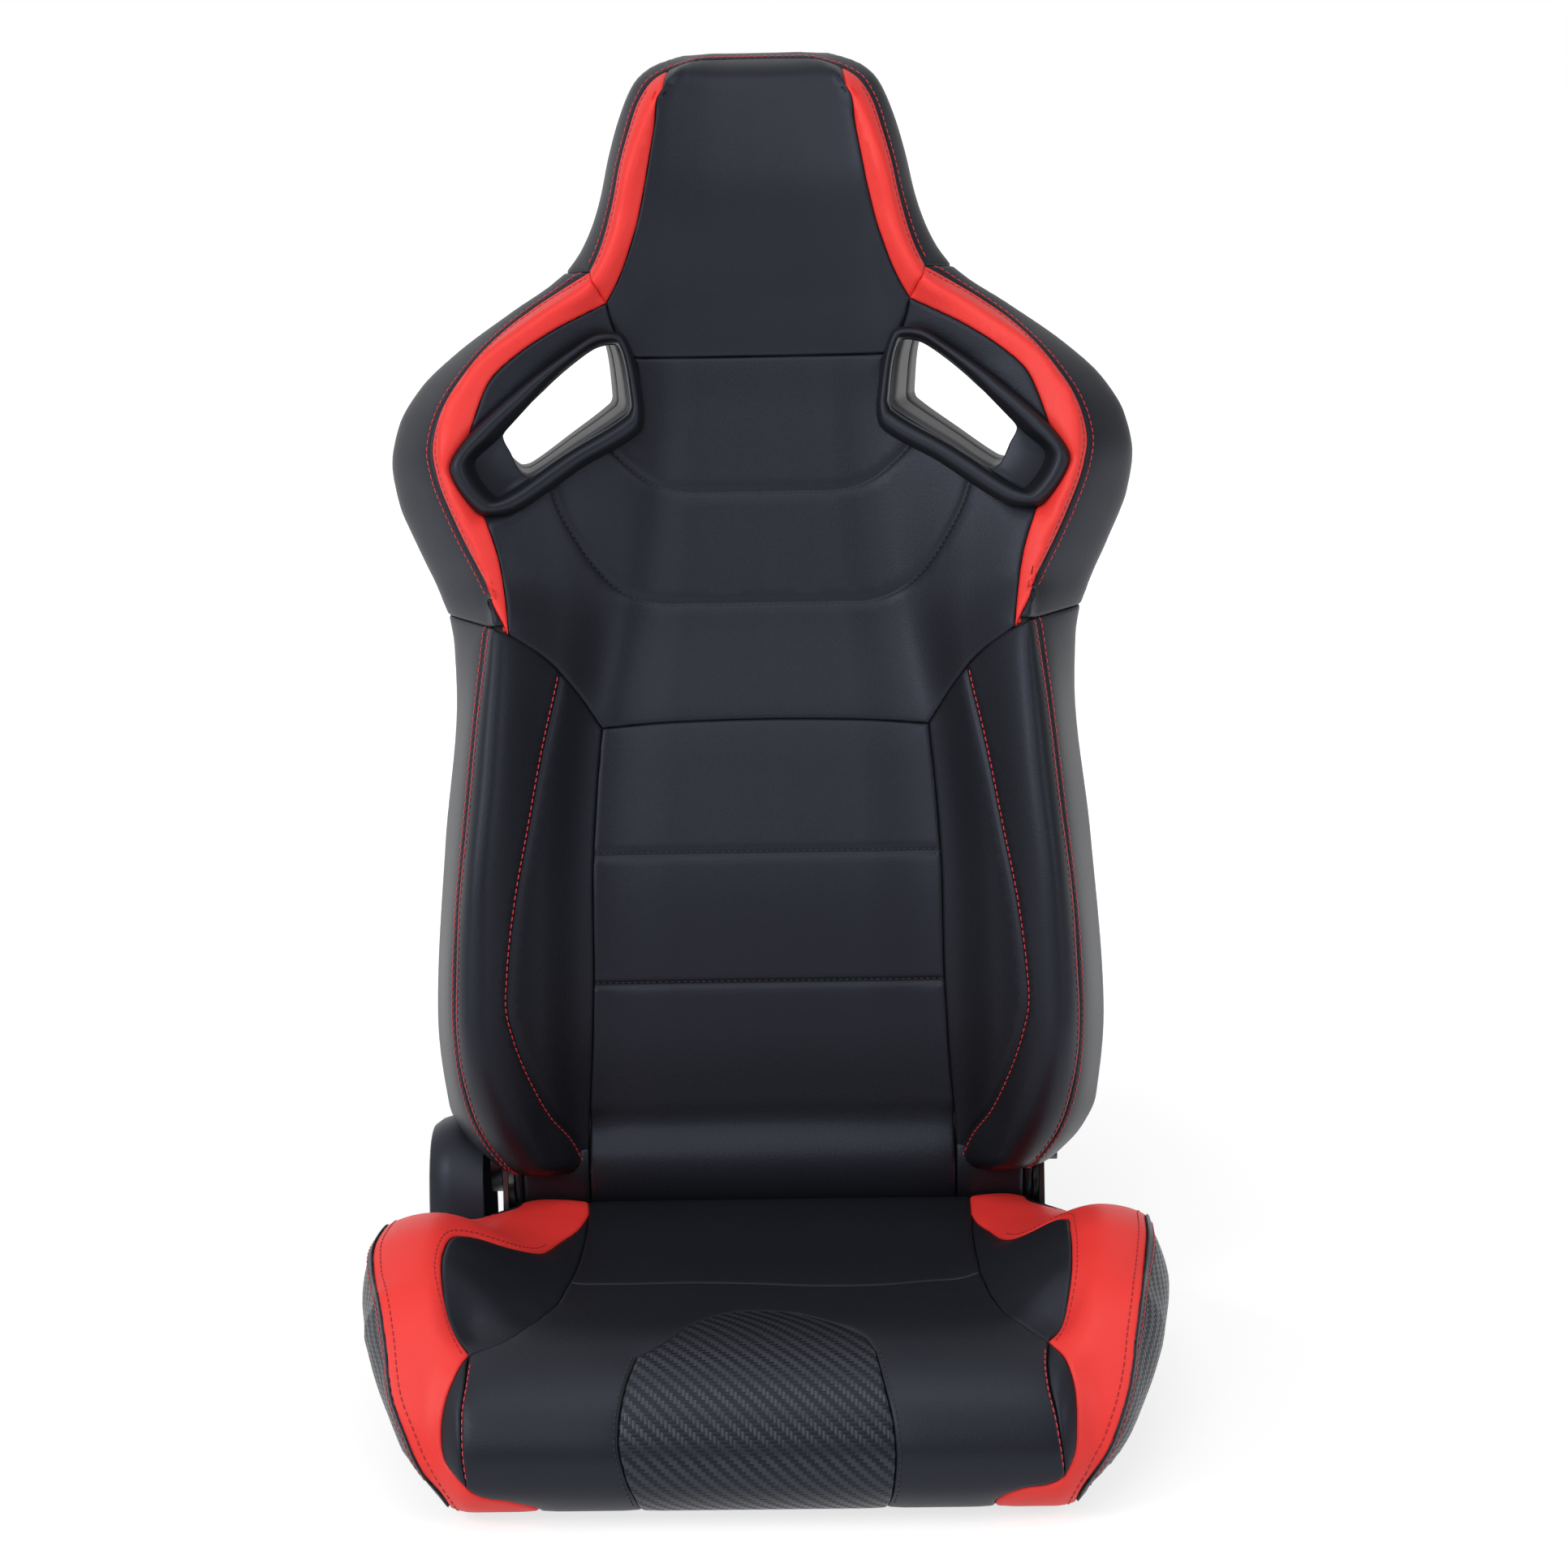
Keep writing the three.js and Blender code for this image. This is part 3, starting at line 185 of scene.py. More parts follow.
back_edge = smooth_curve([
    (-15, 197), (3, 216), (21, 232), (45, 243), (113, 249.5), (242, 241.5), (352, 231.6), (389, 232.7),
    (426, 241.6), (463, 258), (499, 272.6), (527, 277), (554, 272), (582, 256), (609, 228), (640, 185),
    (660, 155), (685, 133), (719, 119.5), (756, 111), (785, 102.5), (808, 92), (820, 80), (831, 55)])
outer_seam = smooth_curve([
    (-15, 184), (6, 202), (21, 212), (66, 226), (130, 230), (219, 223), (340, 211), (402, 204),
    (424, 203), (460, 218), (514, 240.5), (532, 243), (551, 240), (569, 233), (605, 205), (640, 159),
    (658, 132), (676, 119), (712, 107), (748, 99), (766, 94), (793, 84), (807, 74), (831, 44)])
crest = smooth_curve([
    (-15, 165), (40, 190), (110, 206), (200, 204), (300, 195), (400, 190), (440, 200), (510, 222),
    (550, 226), (590, 208), (630, 160), (655, 122), (690, 104), (730, 95), (790, 74), (831, 38)])
valley = smooth_curve([
    (-15, 137), (82, 132), (134, 129.6), (233, 128), (325, 120.6), (420, 104), (520, 92), (600, 88),
    (700, 74), (800, 58), (831, 30)])
centre_front = smooth_curve([
    (-15, 38), (30, 42), (110, 56), (200, 62), (300, 54), (420, 40), (560, 41), (640, 50),
    (740, 70), (800, 66), (831, 55)])
crest_front = smooth_curve([
    (-15, 84), (40, 116), (110, 134), (200, 136), (300, 128), (400, 112), (440, 104), (510, 104),
    (560, 98), (600, 90), (640, 80), (700, 80), (740, 86), (800, 74), (831, 58)])
back_rear = smooth_curve([
    (-15, -46), (60, -50), (300, -48), (560, -44), (640, -34), (740, -20), (831, -18)])
# Places along the section: where it is widest, the seam on its side, and the corner behind.
WIDEST_CORNER, SIDE_SEAM_T, REAR_CORNER = 7, 7.3, 9
WIDEST = 280
# The cover of the foot stays between the recliner's arms, which lets the plates pass when the back lies down.
REAR_FOOT_TOP, FOOT_HALF = 32, 190
# From here up a black cap wraps over the headrest; the gussets and the rear cover end below it.
CAP_FOOT = 786
# The centre pad's roll about the hinge, and the narrower one that closes the bolsters below.
ROLL_RADIUS, ROLL_END_RADIUS, ROLL_LOW = 49.2, 48.4, -150.0

# The harness openings, in the front view: where the rim ends inside, the tunnel and the rim's outside.
OPENING_FRONT = [(210, 522), (195, 538.5), (157, 579.5), (138.5, 596), (119.5, 609), (104, 609), (96, 566),
                 (98, 560), (142, 531), (185, 502), (195, 498)]
TUNNEL_MOUTH = [(184.5, 531), (189.5, 544), (157, 579), (138.5, 595.5), (119.5, 608.5), (104.5, 608.5),
                (96.5, 566), (98.5, 560.5), (142, 531.5), (170, 513), (177, 516)]
OPENING_REAR = [(204, 549), (199, 561), (168, 592), (150, 606), (129, 620), (121, 621), (116, 581),
                (118, 575), (149, 552), (179, 531), (188, 530)]
BEZEL_OUTLINE = [(228, 518), (211, 546), (171, 582), (140, 605), (119, 618), (99, 616), (87, 566),
                 (90, 546), (130, 521), (182, 486), (207, 485)]

# v runs up the backrest: it equals u, but turns over with the rounding at both ends.
V_LOW = BACK_BOTTOM + BOTTOM_ROUND - BOTTOM_ROUND * math.pi / 2
V_HIGH = BACK_TOP - TOP_ROUND + TOP_ROUND * math.pi / 2


def rounding(v):
    """The height u at v, and how much of the backrest's depth is left there."""
    top = np.clip((v - (BACK_TOP - TOP_ROUND)) / TOP_ROUND, 0, math.pi / 2)
    low = np.clip((BACK_BOTTOM + BOTTOM_ROUND - v) / BOTTOM_ROUND, 0, math.pi / 2)
    u = np.clip(v, BACK_BOTTOM + BOTTOM_ROUND, BACK_TOP - TOP_ROUND)
    return u + TOP_ROUND * np.sin(top) - BOTTOM_ROUND * np.sin(low), np.cos(top) * np.cos(low)


def v_at(u):
    """The v of a height u."""
    u = np.asarray(u, float)
    top = np.arcsin(np.clip((u - (BACK_TOP - TOP_ROUND)) / TOP_ROUND, 0, 1))
    low = np.arcsin(np.clip((BACK_BOTTOM + BOTTOM_ROUND - u) / BOTTOM_ROUND, 0, 1))
    middle = np.clip(u, BACK_BOTTOM + BOTTOM_ROUND, BACK_TOP - TOP_ROUND)
    return middle + TOP_ROUND * top - BOTTOM_ROUND * low


def section(v):
    """Half of the backrest's section at each v, from the middle of the front round to the rear corner."""
    u, full = rounding(v)
    edge, seam, top, hollow = back_edge(u), outer_seam(u), crest(u), valley(u)
    rear, middle, high = back_rear(u), centre_front(u), crest_front(u)
    side = rear + 0.5 * (high - rear)
    x = [0 * u, 0.55 * hollow, hollow, (hollow + top) / 2, top, seam, edge - 3, edge, edge - 3, edge - WRAP]
    n = [middle, middle + 1, middle + 5, (middle + high) / 2 + 2, high,
         high - 0.32 * (seam - top) - 8, side + 16, side - 10, rear + 18, rear]
    pivot = rear + 34
    depth = [pivot + (value - pivot) * full for value in n]
    return np.stack([np.stack(x, 1), np.stack(depth, 1)], 2)


V_STEP, T_STEP, S_STEP = 4.0, 0.05, 2.0
V_ROWS = np.arange(V_LOW, V_HIGH + V_STEP, V_STEP)
T_COLUMNS = np.arange(0, REAR_CORNER + T_STEP / 2, T_STEP)


def section_tables():
    """For each v row: the length along the section at each t, t at each length, and t at each x."""
    nodes = np.repeat(section(V_ROWS), len(T_COLUMNS), axis=0)
    line = through_nodes(nodes, np.tile(T_COLUMNS, len(V_ROWS))).reshape(len(V_ROWS), len(T_COLUMNS), 2)
    steps = np.linalg.norm(np.diff(line, axis=1), axis=2)
    arc = np.concatenate([np.zeros((len(V_ROWS), 1)), np.cumsum(steps, axis=1)], axis=1)
    front = T_COLUMNS <= WIDEST_CORNER
    lengths = np.arange(0, arc.max() + S_STEP, S_STEP)
    widths = np.arange(0, WIDEST, 1.0)
    t_of_s = np.array([np.interp(lengths, row, T_COLUMNS) for row in arc])
    t_of_x = np.array([np.interp(widths, np.maximum.accumulate(row[front, 0]), T_COLUMNS[front])
                       for row in line])
    return arc, t_of_s, t_of_x


ARC, T_OF_S, T_OF_X = section_tables()


def lookup(table, v, column):
    """The table's value between its rows, at v, and its columns."""
    row = np.clip((v - V_LOW) / V_STEP, 0, len(table) - 1.001)
    column = np.clip(column, 0, table.shape[1] - 1.001)
    i, j = row.astype(int), column.astype(int)
    f, g = row - i, column - j
    low = table[i, j] * (1 - g) + table[i, j + 1] * g
    high = table[i + 1, j] * (1 - g) + table[i + 1, j + 1] * g
    return low * (1 - f) + high * f


def from_backrest(x, n, u):
    """Points of the backrest's own frame, in the seat's."""
    y = HINGE_Y - n * math.cos(RECLINE) + u * math.sin(RECLINE)
    z = HINGE_Z + n * math.sin(RECLINE) + u * math.cos(RECLINE)
    return np.stack([x, y, z], 1)


def bezel_plane(x):
    """How far out the cover's seat for the harness bezel lies."""
    return 60 + 0.24 * (np.abs(x) - 95)


def outside_bezel(x, u):
    """How far a point of the front view lies outside the bezel's outline; less than 0 is inside."""
    corners = np.array(BEZEL_OUTLINE, float)
    edges = np.roll(corners, -1, axis=0) - corners
    outward = np.stack([-edges[:, 1], edges[:, 0]], 1) / np.linalg.norm(edges, axis=1)[:, None]
    outward *= np.sign(np.sum(outward * (corners - corners.mean(axis=0)), axis=1))[:, None]
    offsets = np.stack([np.abs(x), u], 1) @ outward.T - np.sum(outward * corners, axis=1)
    return offsets.max(axis=1)


def drawn_in(x, n, u):
    """The cover's n where the harness bezels pull it down to their seat."""
    highest = bezel_plane(x) + 1 + 1.15 * np.maximum(0, outside_bezel(x, u) + 3)
    over = n - highest
    return n - 0.5 * (over + np.sqrt(over ** 2 + 16))


def back_place(sv):
    """Points of the backrest's front and sides: s is the length from its middle line, v the height."""
    s, v = sv[:, 0], np.clip(sv[:, 1], V_LOW, V_HIGH)
    t = lookup(T_OF_S, v, np.abs(s) / S_STEP)
    xn = through_nodes(section(v), t)
    u = rounding(v)[0]
    return from_backrest(np.sign(s) * xn[:, 0], drawn_in(xn[:, 0], xn[:, 1], u), u)


def centre_place(sv):
    """The middle of the backrest, which runs on below into a roll about the hinge."""
    s, v = sv[:, 0], sv[:, 1]
    above = back_place(np.stack([s, np.maximum(v, 4)], 1))
    angle = v / ROLL_RADIUS
    roll = from_backrest(s, ROLL_RADIUS * np.cos(angle), ROLL_RADIUS * np.sin(angle))
    share = smoothstep(v, 6, 44)[:, None]
    return roll * (1 - share) + above * share


def rear_place(xv):
    """The backrest's rear side."""
    u, full = rounding(xv[:, 1])
    rear = back_rear(u)
    return from_backrest(xv[:, 0], rear + 34 - 34 * full, u)


REAR_CROWN, REAR_BOARD = 7, 3.3


def rear_panel_place(xu):
    """The outer face of the panel that closes the backrest behind."""
    x, u = xu[:, 0], xu[:, 1]
    half = back_edge(u) - WRAP
    crown = REAR_CROWN * (1 - smoothstep(u, 400, 470)) * (1 - (x / half) ** 2)
    return from_backrest(x, back_rear(u) - REAR_BOARD - crown, u)


def on_back(xu):
    """Front-view points (x, u) as (s, v) on the backrest's skin."""
    xu = np.asarray(xu, float)
    v = v_at(xu[:, 1])
    t = lookup(T_OF_X, v, np.abs(xu[:, 0]))
    return np.stack([np.sign(xu[:, 0]) * lookup(ARC, v, t / T_STEP), v], 1)


def around(t, start, end, step=3.0):
    """The line at t of the section, between two heights v, on the right-hand side."""
    v = np.linspace(start, end, max(2, round(abs(end - start) / step)))
    t = np.broadcast_to(np.asarray(t(v) if callable(t) else t, float), v.shape)
    return np.stack([lookup(ARC, v, t / T_STEP), v], 1)


# ---------- the cushion's form ----------

# The cushion's own y is counted from a line this far in front of the hinge.
HINGE_OFFSET = 99
CUSHION_SHIFT = HINGE_Y - HINGE_OFFSET
REAR_HALF = 191
HINGE_HEIGHT, SWEEP_RADIUS = 118, 50.6
SIDE_FALLOFF = 34
cushion_middle = smooth_curve([(-215, 117), (-160, 112), (-60, 104), (60, 100), (150, 95)])
bolster_crest = smooth_curve([
    (-215, 151), (-180, 160), (-150, 163), (-126, 159), (-100, 149), (-66, 134), (-30, 118), (0, 108),
    (30, 104), (60, 102), (150, 96)])
seat_seam = smooth_curve([
    (-340, 204), (-264, 200), (-203, 161), (-167, 146), (-121, 138), (0, 136.5), (160, 136)])
crest_line = smooth_curve([(-340, 226), (-260, 233), (-60, 236), (0, 205), (45, 172), (160, 168)])
width_at_height = smooth_curve([
    (-5, 230), (0, 233), (30, 251), (60, 265), (90, 277), (120, 284), (140, 282.5), (160, 273), (190, 250)])
front_taper = smooth_curve([
    (-340, 0.78), (-325, 0.83), (-300, 0.9), (-270, 0.955), (-230, 0.988), (-170, 1), (160, 1)])
rear_share = smooth_curve([(-60, 1), (-30, 0.93), (0, 0.62), (20, 0.3), (40, 0), (160, 0)])

# Skin lines across the cushion, from its rear underside forwards: w, then y, then z where it is fixed.
REAR_LINES = [(-55, 126, 33.5), (-29, 126, 58), (-14, 124.5, None), (1, 112, None), (14, 99, None),
              (23, 90, None), (38, 76, None), (53, 64, None), (65, 56, None)]
TOP_LINES = [(76, 50), (111, 15), (141, -15), (171, -45), (206, -80), (246, -120), (286, -160),
             (317, -190), (342, -215)]
NOSE_LINES = [(367, (-240, 117.5), (-238, 141)), (391, (-264, 113), (-260, 124)),
              (419, (-290, 103), (-281, 100)), (448, (-312, 84), (-298, 74)),
              (477, (-325, 58), (-306, 46)), (503, (-322, 32), (-301, 26)),
              (530, (-305, 12), (-293, 12)), (550, (-285, 6), (-270, 1))]
W_LINES = np.array([line[0] for line in REAR_LINES + TOP_LINES + NOSE_LINES], float)


def cushion_top(x, y):
    """The cushion's height at x and y, without the hollow under the backrest."""
    share = smoothstep(np.abs(x), seat_seam(y) - 12, crest_line(y))
    past = np.maximum(0, np.abs(x) - crest_line(y))
    rise = (bolster_crest(y) - cushion_middle(y)) * share
    return cushion_middle(y) + rise - np.minimum(40, 0.007 * past ** 2)


def under_backrest(y):
    """The height that the cushion stays below, so that the backrest's roll can turn over it."""
    away = np.clip(np.abs(y - HINGE_OFFSET) / SWEEP_RADIUS, 0, 1)
    return np.where(away < 1, HINGE_HEIGHT - SWEEP_RADIUS * np.sqrt(1 - away ** 2), np.inf)


def cushion_lines(x):
    """The cushion's section lengthways at each x, as its (y, z) nodes."""
    lines = []
    for _, y, z in REAR_LINES:
        height = np.minimum(cushion_top(x, y), under_backrest(y)) if z is None else z
        lines.append(np.stack([0 * x + y, 0 * x + height], 1))
    for _, y in TOP_LINES:
        lines.append(np.stack([0 * x + y, cushion_top(x, y)], 1))
    share = smoothstep(np.abs(x), 196, 228)[:, None]
    for _, middle, side in NOSE_LINES:
        lines.append(np.array(middle) * (1 - share) + np.array(side) * share)
    return np.stack(lines, 1)


def cushion_place(xw):
    """Points of the cushion's skin."""
    x = xw[:, 0]
    t = np.interp(xw[:, 1], W_LINES, np.arange(len(W_LINES)))
    yz = through_nodes(cushion_lines(x), t)
    return np.stack([x, yz[:, 0] + CUSHION_SHIFT, yz[:, 1]], 1)


def side_half(y, z):
    """Half of the cushion's width at y and height z."""
    wide = width_at_height(z) * front_taper(y)
    return REAR_HALF + (wide - REAR_HALF) * rear_share(y)


def side_place(seam):
    """The right-hand side of the cushion over (y, z), drawn in to the seam's 3-D points at its top edge."""
    seam = dense(seam, 0.8)
    tree = tree_of(seam[:, 1:])
    seam_offsets = seam[:, 0] - side_half(seam[:, 1] - CUSHION_SHIFT, seam[:, 2])

    def place(yz):
        x = side_half(yz[:, 0], yz[:, 1])
        y = yz[:, 0] + CUSHION_SHIFT
        found = [tree.find((along, height, 0)) for along, height in zip(y, yz[:, 1])]
        offset = seam_offsets[[index for _, index, _ in found]]
        distance = np.array([d for _, _, d in found])
        return np.stack([x + offset * np.exp(-(distance / SIDE_FALLOFF) ** 2), y, yz[:, 1]], 1)

    return place


# ---------- panels ----------

RIM_STEP = 0.5
# How far from a panel's edge its rows of points lie, and how far from a channel, in channel widths.
EDGE_ROWS = (0.4, 1.0, 2.0, 3.6)
CHANNEL_ROWS = (-1.8, -0.9, -0.35, 0, 0.35, 0.9, 1.8)
BATCH = 2000


def tree_of(points):
    """A search tree over points, which may be flat."""
    points = np.asarray(points, float)
    if points.shape[1] == 2:
        points = np.pad(points, ((0, 0), (0, 1)))
    tree = kdtree.KDTree(len(points))
    for index, point in enumerate(points):
        tree.insert(point, index)
    tree.balance()
    return tree


def distances(tree, points):
    """How far each point lies from the nearest one in the tree."""
    points = np.asarray(points, float)
    if points.shape[1] == 2:
        points = np.pad(points, ((0, 0), (0, 1)))
    return np.array([tree.find(point)[2] for point in points])


def inside(points, loops):
    """Which points lie inside the first loop and outside the others."""
    result = np.zeros(len(points), bool)
    for loop in loops:
        following = np.roll(loop, -1, axis=0)
        for start in range(0, len(points), BATCH):
            p = points[start:start + BATCH, None]
            spans = (loop[:, 1] > p[..., 1]) != (following[:, 1] > p[..., 1])
            rise = following[:, 1] - loop[:, 1]
            rise = np.where(rise == 0, 1e-12, rise)
            crossing = loop[:, 0] + (p[..., 1] - loop[:, 1]) * (following[:, 0] - loop[:, 0]) / rise
            result[start:start + BATCH] ^= (np.sum(spans & (p[..., 0] < crossing), axis=1) % 2).astype(bool)
    return result


class Skin:
    """A smooth surface: place turns flat points into points in mm, and turn makes its normals point out."""

    def __init__(self, place, turn=1):
        self.place = place
        self.turn = turn

    def normals(self, flat):
        """Unit normals at flat points."""
        along = self.place(flat + [0.6, 0]) - self.place(flat - [0.6, 0])
        across = self.place(flat + [0, 0.6]) - self.place(flat - [0, 0.6])
        normal = np.cross(along, across) * self.turn
        return normal / np.maximum(np.linalg.norm(normal, axis=1), 1e-9)[:, None]

    def beside(self, line, distance, closed=False):
        """A line moved to its left over the skin by a real distance."""
        if closed:
            tangent = np.roll(line, -1, axis=0) - np.roll(line, 1, axis=0)
        else:
            tangent = np.gradient(line, axis=0)
        side = np.stack([-tangent[:, 1], tangent[:, 0]], 1)
        side /= np.maximum(np.linalg.norm(side, axis=1), 1e-9)[:, None]
        stretch = np.linalg.norm(self.place(line + side) - self.place(line - side), axis=1) / 2
        return line + side * (distance / np.maximum(stretch, 0.05))[:, None]


back_skin = Skin(back_place)
centre_skin = Skin(centre_place)
rear_skin = Skin(rear_place, -1)
rear_panel_skin = Skin(rear_panel_place, -1)
cushion_skin = Skin(cushion_place, -1)


class Panel:
    """One piece of a cover: a closed outline on a skin, with holes, rolled edges and sewn channels."""

    def __init__(self, skin, loops, roll=2.4, sink=1.4, reach=9.0, channels=(), open_edge=None):
        self.skin = skin
        self.loops = []
        for number, loop in enumerate(loops):
            following = np.roll(loop, -1, axis=0)
            turns_left = np.sum(loop[:, 0] * following[:, 1] - following[:, 0] * loop[:, 1]) > 0
            self.loops.append(loop if turns_left == (number == 0) else loop[::-1])
        self.roll, self.sink, self.reach = roll, sink, reach
        self.flat_rim = np.vstack([dense(np.vstack([loop, loop[:1]]), RIM_STEP) for loop in self.loops])
        rim = skin.place(self.flat_rim)
        self.rim = tree_of(rim if open_edge is None else rim[~open_edge(self.flat_rim)])
        self.channels = [(line, depth, width, tree_of(skin.place(dense(line, RIM_STEP))))
                         for line, depth, width in channels]

    def lift(self, flat):
        """The panel's outer points over flat ones, and the skin's normals there."""
        base, normals = self.skin.place(flat), self.skin.normals(flat)
        away = distances(self.rim, base)
        inward = np.clip(away / self.roll, 0, 1)
        height = -self.roll * (1 - np.sqrt(1 - (1 - inward) ** 2)) - self.sink * np.exp(-away / self.reach)
        for _, depth, width, tree in self.channels:
            height -= depth * np.exp(-(distances(tree, base) / width) ** 2)
        return base + normals * height[:, None], normals

    def flat_points(self, spacing):
        """The outline's edges, and points inside it: rows along edges and channels, then an even field."""
        rows = []
        for loop in self.loops:
            for offset in EDGE_ROWS:
                row = self.skin.beside(loop, offset, closed=True)
                if offset == EDGE_ROWS[-1]:
                    row = row[distances(self.rim, self.skin.place(row)) > 0.75 * offset]
                rows.append(row)
        for line, _, width, _ in self.channels:
            rows += [self.skin.beside(line, offset * width) for offset in CHANNEL_ROWS]
        rows = np.vstack(rows)
        rows = rows[inside(rows, self.loops) & (distances(tree_of(self.flat_rim), rows) > RIM_STEP / 2)]
        low, high = self.loops[0].min(axis=0), self.loops[0].max(axis=0)
        across = np.arange(low[0], high[0], spacing)
        along = np.arange(low[1], high[1], spacing * math.sqrt(3) / 2)
        field = np.array([(x + (j % 2) * spacing / 2, y) for j, y in enumerate(along) for x in across])
        field = field[inside(field, self.loops)]
        field = field[distances(tree_of(rows), field) > 0.62 * spacing]
        return rows, field

    def surface(self, spacing=5.0):
        """The panel's outer surface: points in mm, triangles, and flat points for the weave."""
        rows, field = self.flat_points(spacing)
        outline = np.vstack(self.loops)
        edges, start = [], 0
        for loop in self.loops:
            edges += [(start + i, start + (i + 1) % len(loop)) for i in range(len(loop))]
            start += len(loop)
        flat = np.vstack([outline, rows, field])
        found = geometry.delaunay_2d_cdt([tuple(p) for p in flat], edges, [], 0, 1e-5)
        flat = np.array([tuple(p) for p in found[0]])
        triangles = np.array([face for face in found[2] if len(face) == 3])
        triangles = triangles[inside(flat[triangles].mean(axis=1), self.loops)]
        points, normals = self.lift(flat)
        a, b, c = (points[triangles[:, k]] for k in range(3))
        facing = np.sum(np.cross(b - a, c - a) * normals[triangles[:, 0]], axis=1)
        if np.sum(facing) < 0:
            triangles = triangles[:, ::-1]
        return points, triangles, flat


def add_mesh(name, points, faces, material, body, flat=None, mirror=False):
    """A smooth-shaded object from points in mm, on its body and with its material slot."""
    points, faces = np.asarray(points, float), [list(map(int, face)) for face in faces]
    if mirror:
        points = points * [-1, 1, 1]
        faces = [face[::-1] for face in faces]
    mesh = bpy.data.meshes.new(name)
    mesh.from_pydata((points * MM).tolist(), [], faces)
    if flat is not None:
        layer = mesh.uv_layers.new(name="cover")
        corners = np.array([loop.vertex_index for loop in mesh.loops])
        layer.data.foreach_set("uv", (flat[corners] * MM).astype(np.float32).ravel())
    mesh.shade_smooth()
    mesh.materials.append(material)
    thing = bpy.data.objects.new(name, mesh)
    bpy.context.scene.collection.objects.link(thing)
    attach(thing, body)
    return thing


def thicken(thing, thickness):
    """Gives a surface its thickness inwards."""
    solid = thing.modifiers.new("thickness", "SOLIDIFY")
    solid.thickness = thickness * MM
    solid.offset = -1


COVER_THICKNESS, LINING_THICKNESS, LINING_DEPTH = 3.5, 1.0, 4.6


def sew_panel(name, panel, finish, body, nodes=(), mirror=False, made=None):
    """A cover piece as an object that stands for its CAD nodes."""
    points, triangles, flat = made or panel.surface()
    thing = add_mesh(name, points, triangles, MATERIALS[finish], body, flat, mirror)
    thicken(thing, COVER_THICKNESS)
    if nodes:
        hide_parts(*nodes)


def sew_pair(name, panel, finish, body, nodes=()):
    """The same cover piece on both sides of the seat; node names get the side's name."""
    made = panel.surface()
    for side, sign in SIDES.items():
        replaced = [f"{node}_{side}" for node in nodes]
        sew_panel(f"{name}_{side}", panel, finish, body, replaced, mirror=sign < 0, made=made)


def line_with_foam(name, skin, loops, body):
    """A thin black lining a little below the covers, so that nothing shows through their seams."""
    lining = Panel(skin, loops, roll=0.3, sink=LINING_DEPTH, reach=1e6)
    points, triangles, flat = lining.surface(9.0)
    thing = add_mesh(name, points, triangles, MATERIALS["lining_cloth"], body, flat)
    thicken(thing, LINING_THICKNESS)


# ---------- stitching ----------

THREAD = []
# Along a stitch: the share of its length, and its width and its height over the leather, both in radii.
STITCH_STATIONS = [(0.0, 0.35, -0.35), (0.07, 0.8, 0.1), (0.3, 1.0, 0.42), (0.7, 1.0, 0.42), (0.93, 0.8, 0.1),
                   (1.0, 0.35, -0.35)]


def flipped(row):
    """A noted row of stitches on the other side of the seat."""
    thread, *tables = row
    return (thread, *(table * [-1, 1, 1] for table in tables))


def stitches(panel, line, side=0.0, thread="red_thread", length=3.9, gap=1.3, both=True):
    """Notes one row of stitches: a line on a panel, moved to its left by side."""
    flat = panel.skin.beside(np.asarray(line, float), side) if side else np.asarray(line, float)
    flat = dense(flat, 1.0)
    points, normals = panel.lift(flat)
    position = np.concatenate([[0], np.cumsum(np.linalg.norm(np.diff(points, axis=0), axis=1))])
    count = int(position[-1] // (length + gap))
    starts = (np.arange(count) + 0.5) * position[-1] / max(count, 1) - length / 2

    def at(wanted, table):
        return np.stack([np.interp(wanted, position, column) for column in table.T], 1)

    THREAD.append((thread, at(starts, points), at(starts + length, points), at(starts + length / 2, normals)))
    if both:
        THREAD.append(flipped(THREAD[-1]))


def stitch_mesh(rows, radius):
    """One closed little bar per stitch, arched over the leather and sunk into it at both ends."""
    first, last, normal = (np.vstack([row[k] for row in rows]) for k in (1, 2, 3))
    along = last - first
    normal = normal / np.linalg.norm(normal, axis=1)[:, None]
    across = np.cross(normal, along)
    across /= np.linalg.norm(across, axis=1)[:, None]
    corners = 6
    points = []
    for share, size, height in STITCH_STATIONS:
        for k in range(corners):
            angle = 2 * math.pi * k / corners
            points.append(first + along * share + across * (radius * size * math.cos(angle))
                          + normal * (radius * (size * math.sin(angle) + height)))
    points = np.stack(points, 1)
    ring = [[(i * corners + k), (i * corners + (k + 1) % corners), ((i + 1) * corners + (k + 1) % corners),
             ((i + 1) * corners + k)] for i in range(len(STITCH_STATIONS) - 1) for k in range(corners)]
    last_ring = (len(STITCH_STATIONS) - 1) * corners
    caps = [list(range(corners))[::-1], [last_ring + k for k in range(corners)]]
    per = points.shape[1]
    faces = []
    for number in range(len(points)):
        faces += [[number * per + i for i in face] for face in ring + caps]
    return points.reshape(-1, 3), faces


def sew_threads(name, body, radius):
    """Makes one object per thread from the rows noted so far."""
    for thread in sorted({row[0] for row in THREAD}):
        rows = [row for row in THREAD if row[0] == thread]
        points, faces = stitch_mesh(rows, radius)
        add_mesh(f"{name}_{thread}", points, faces, MATERIALS[thread], body)
    THREAD.clear()


# ---------- finishes ----------

MATERIALS = {}


def linear(hex_colour):
    """An sRGB hex colour as linear red, green, blue and alpha."""
    channels = [int(hex_colour[i:i + 2], 16) / 255 for i in (1, 3, 5)]
    return tuple(c / 12.92 if c <= 0.04045 else ((c + 0.055) / 1.055) ** 2.4 for c in channels) + (1.0,)


COOL_TINT = linear("#dde4ff")
WHITE = linear("#ffffff")


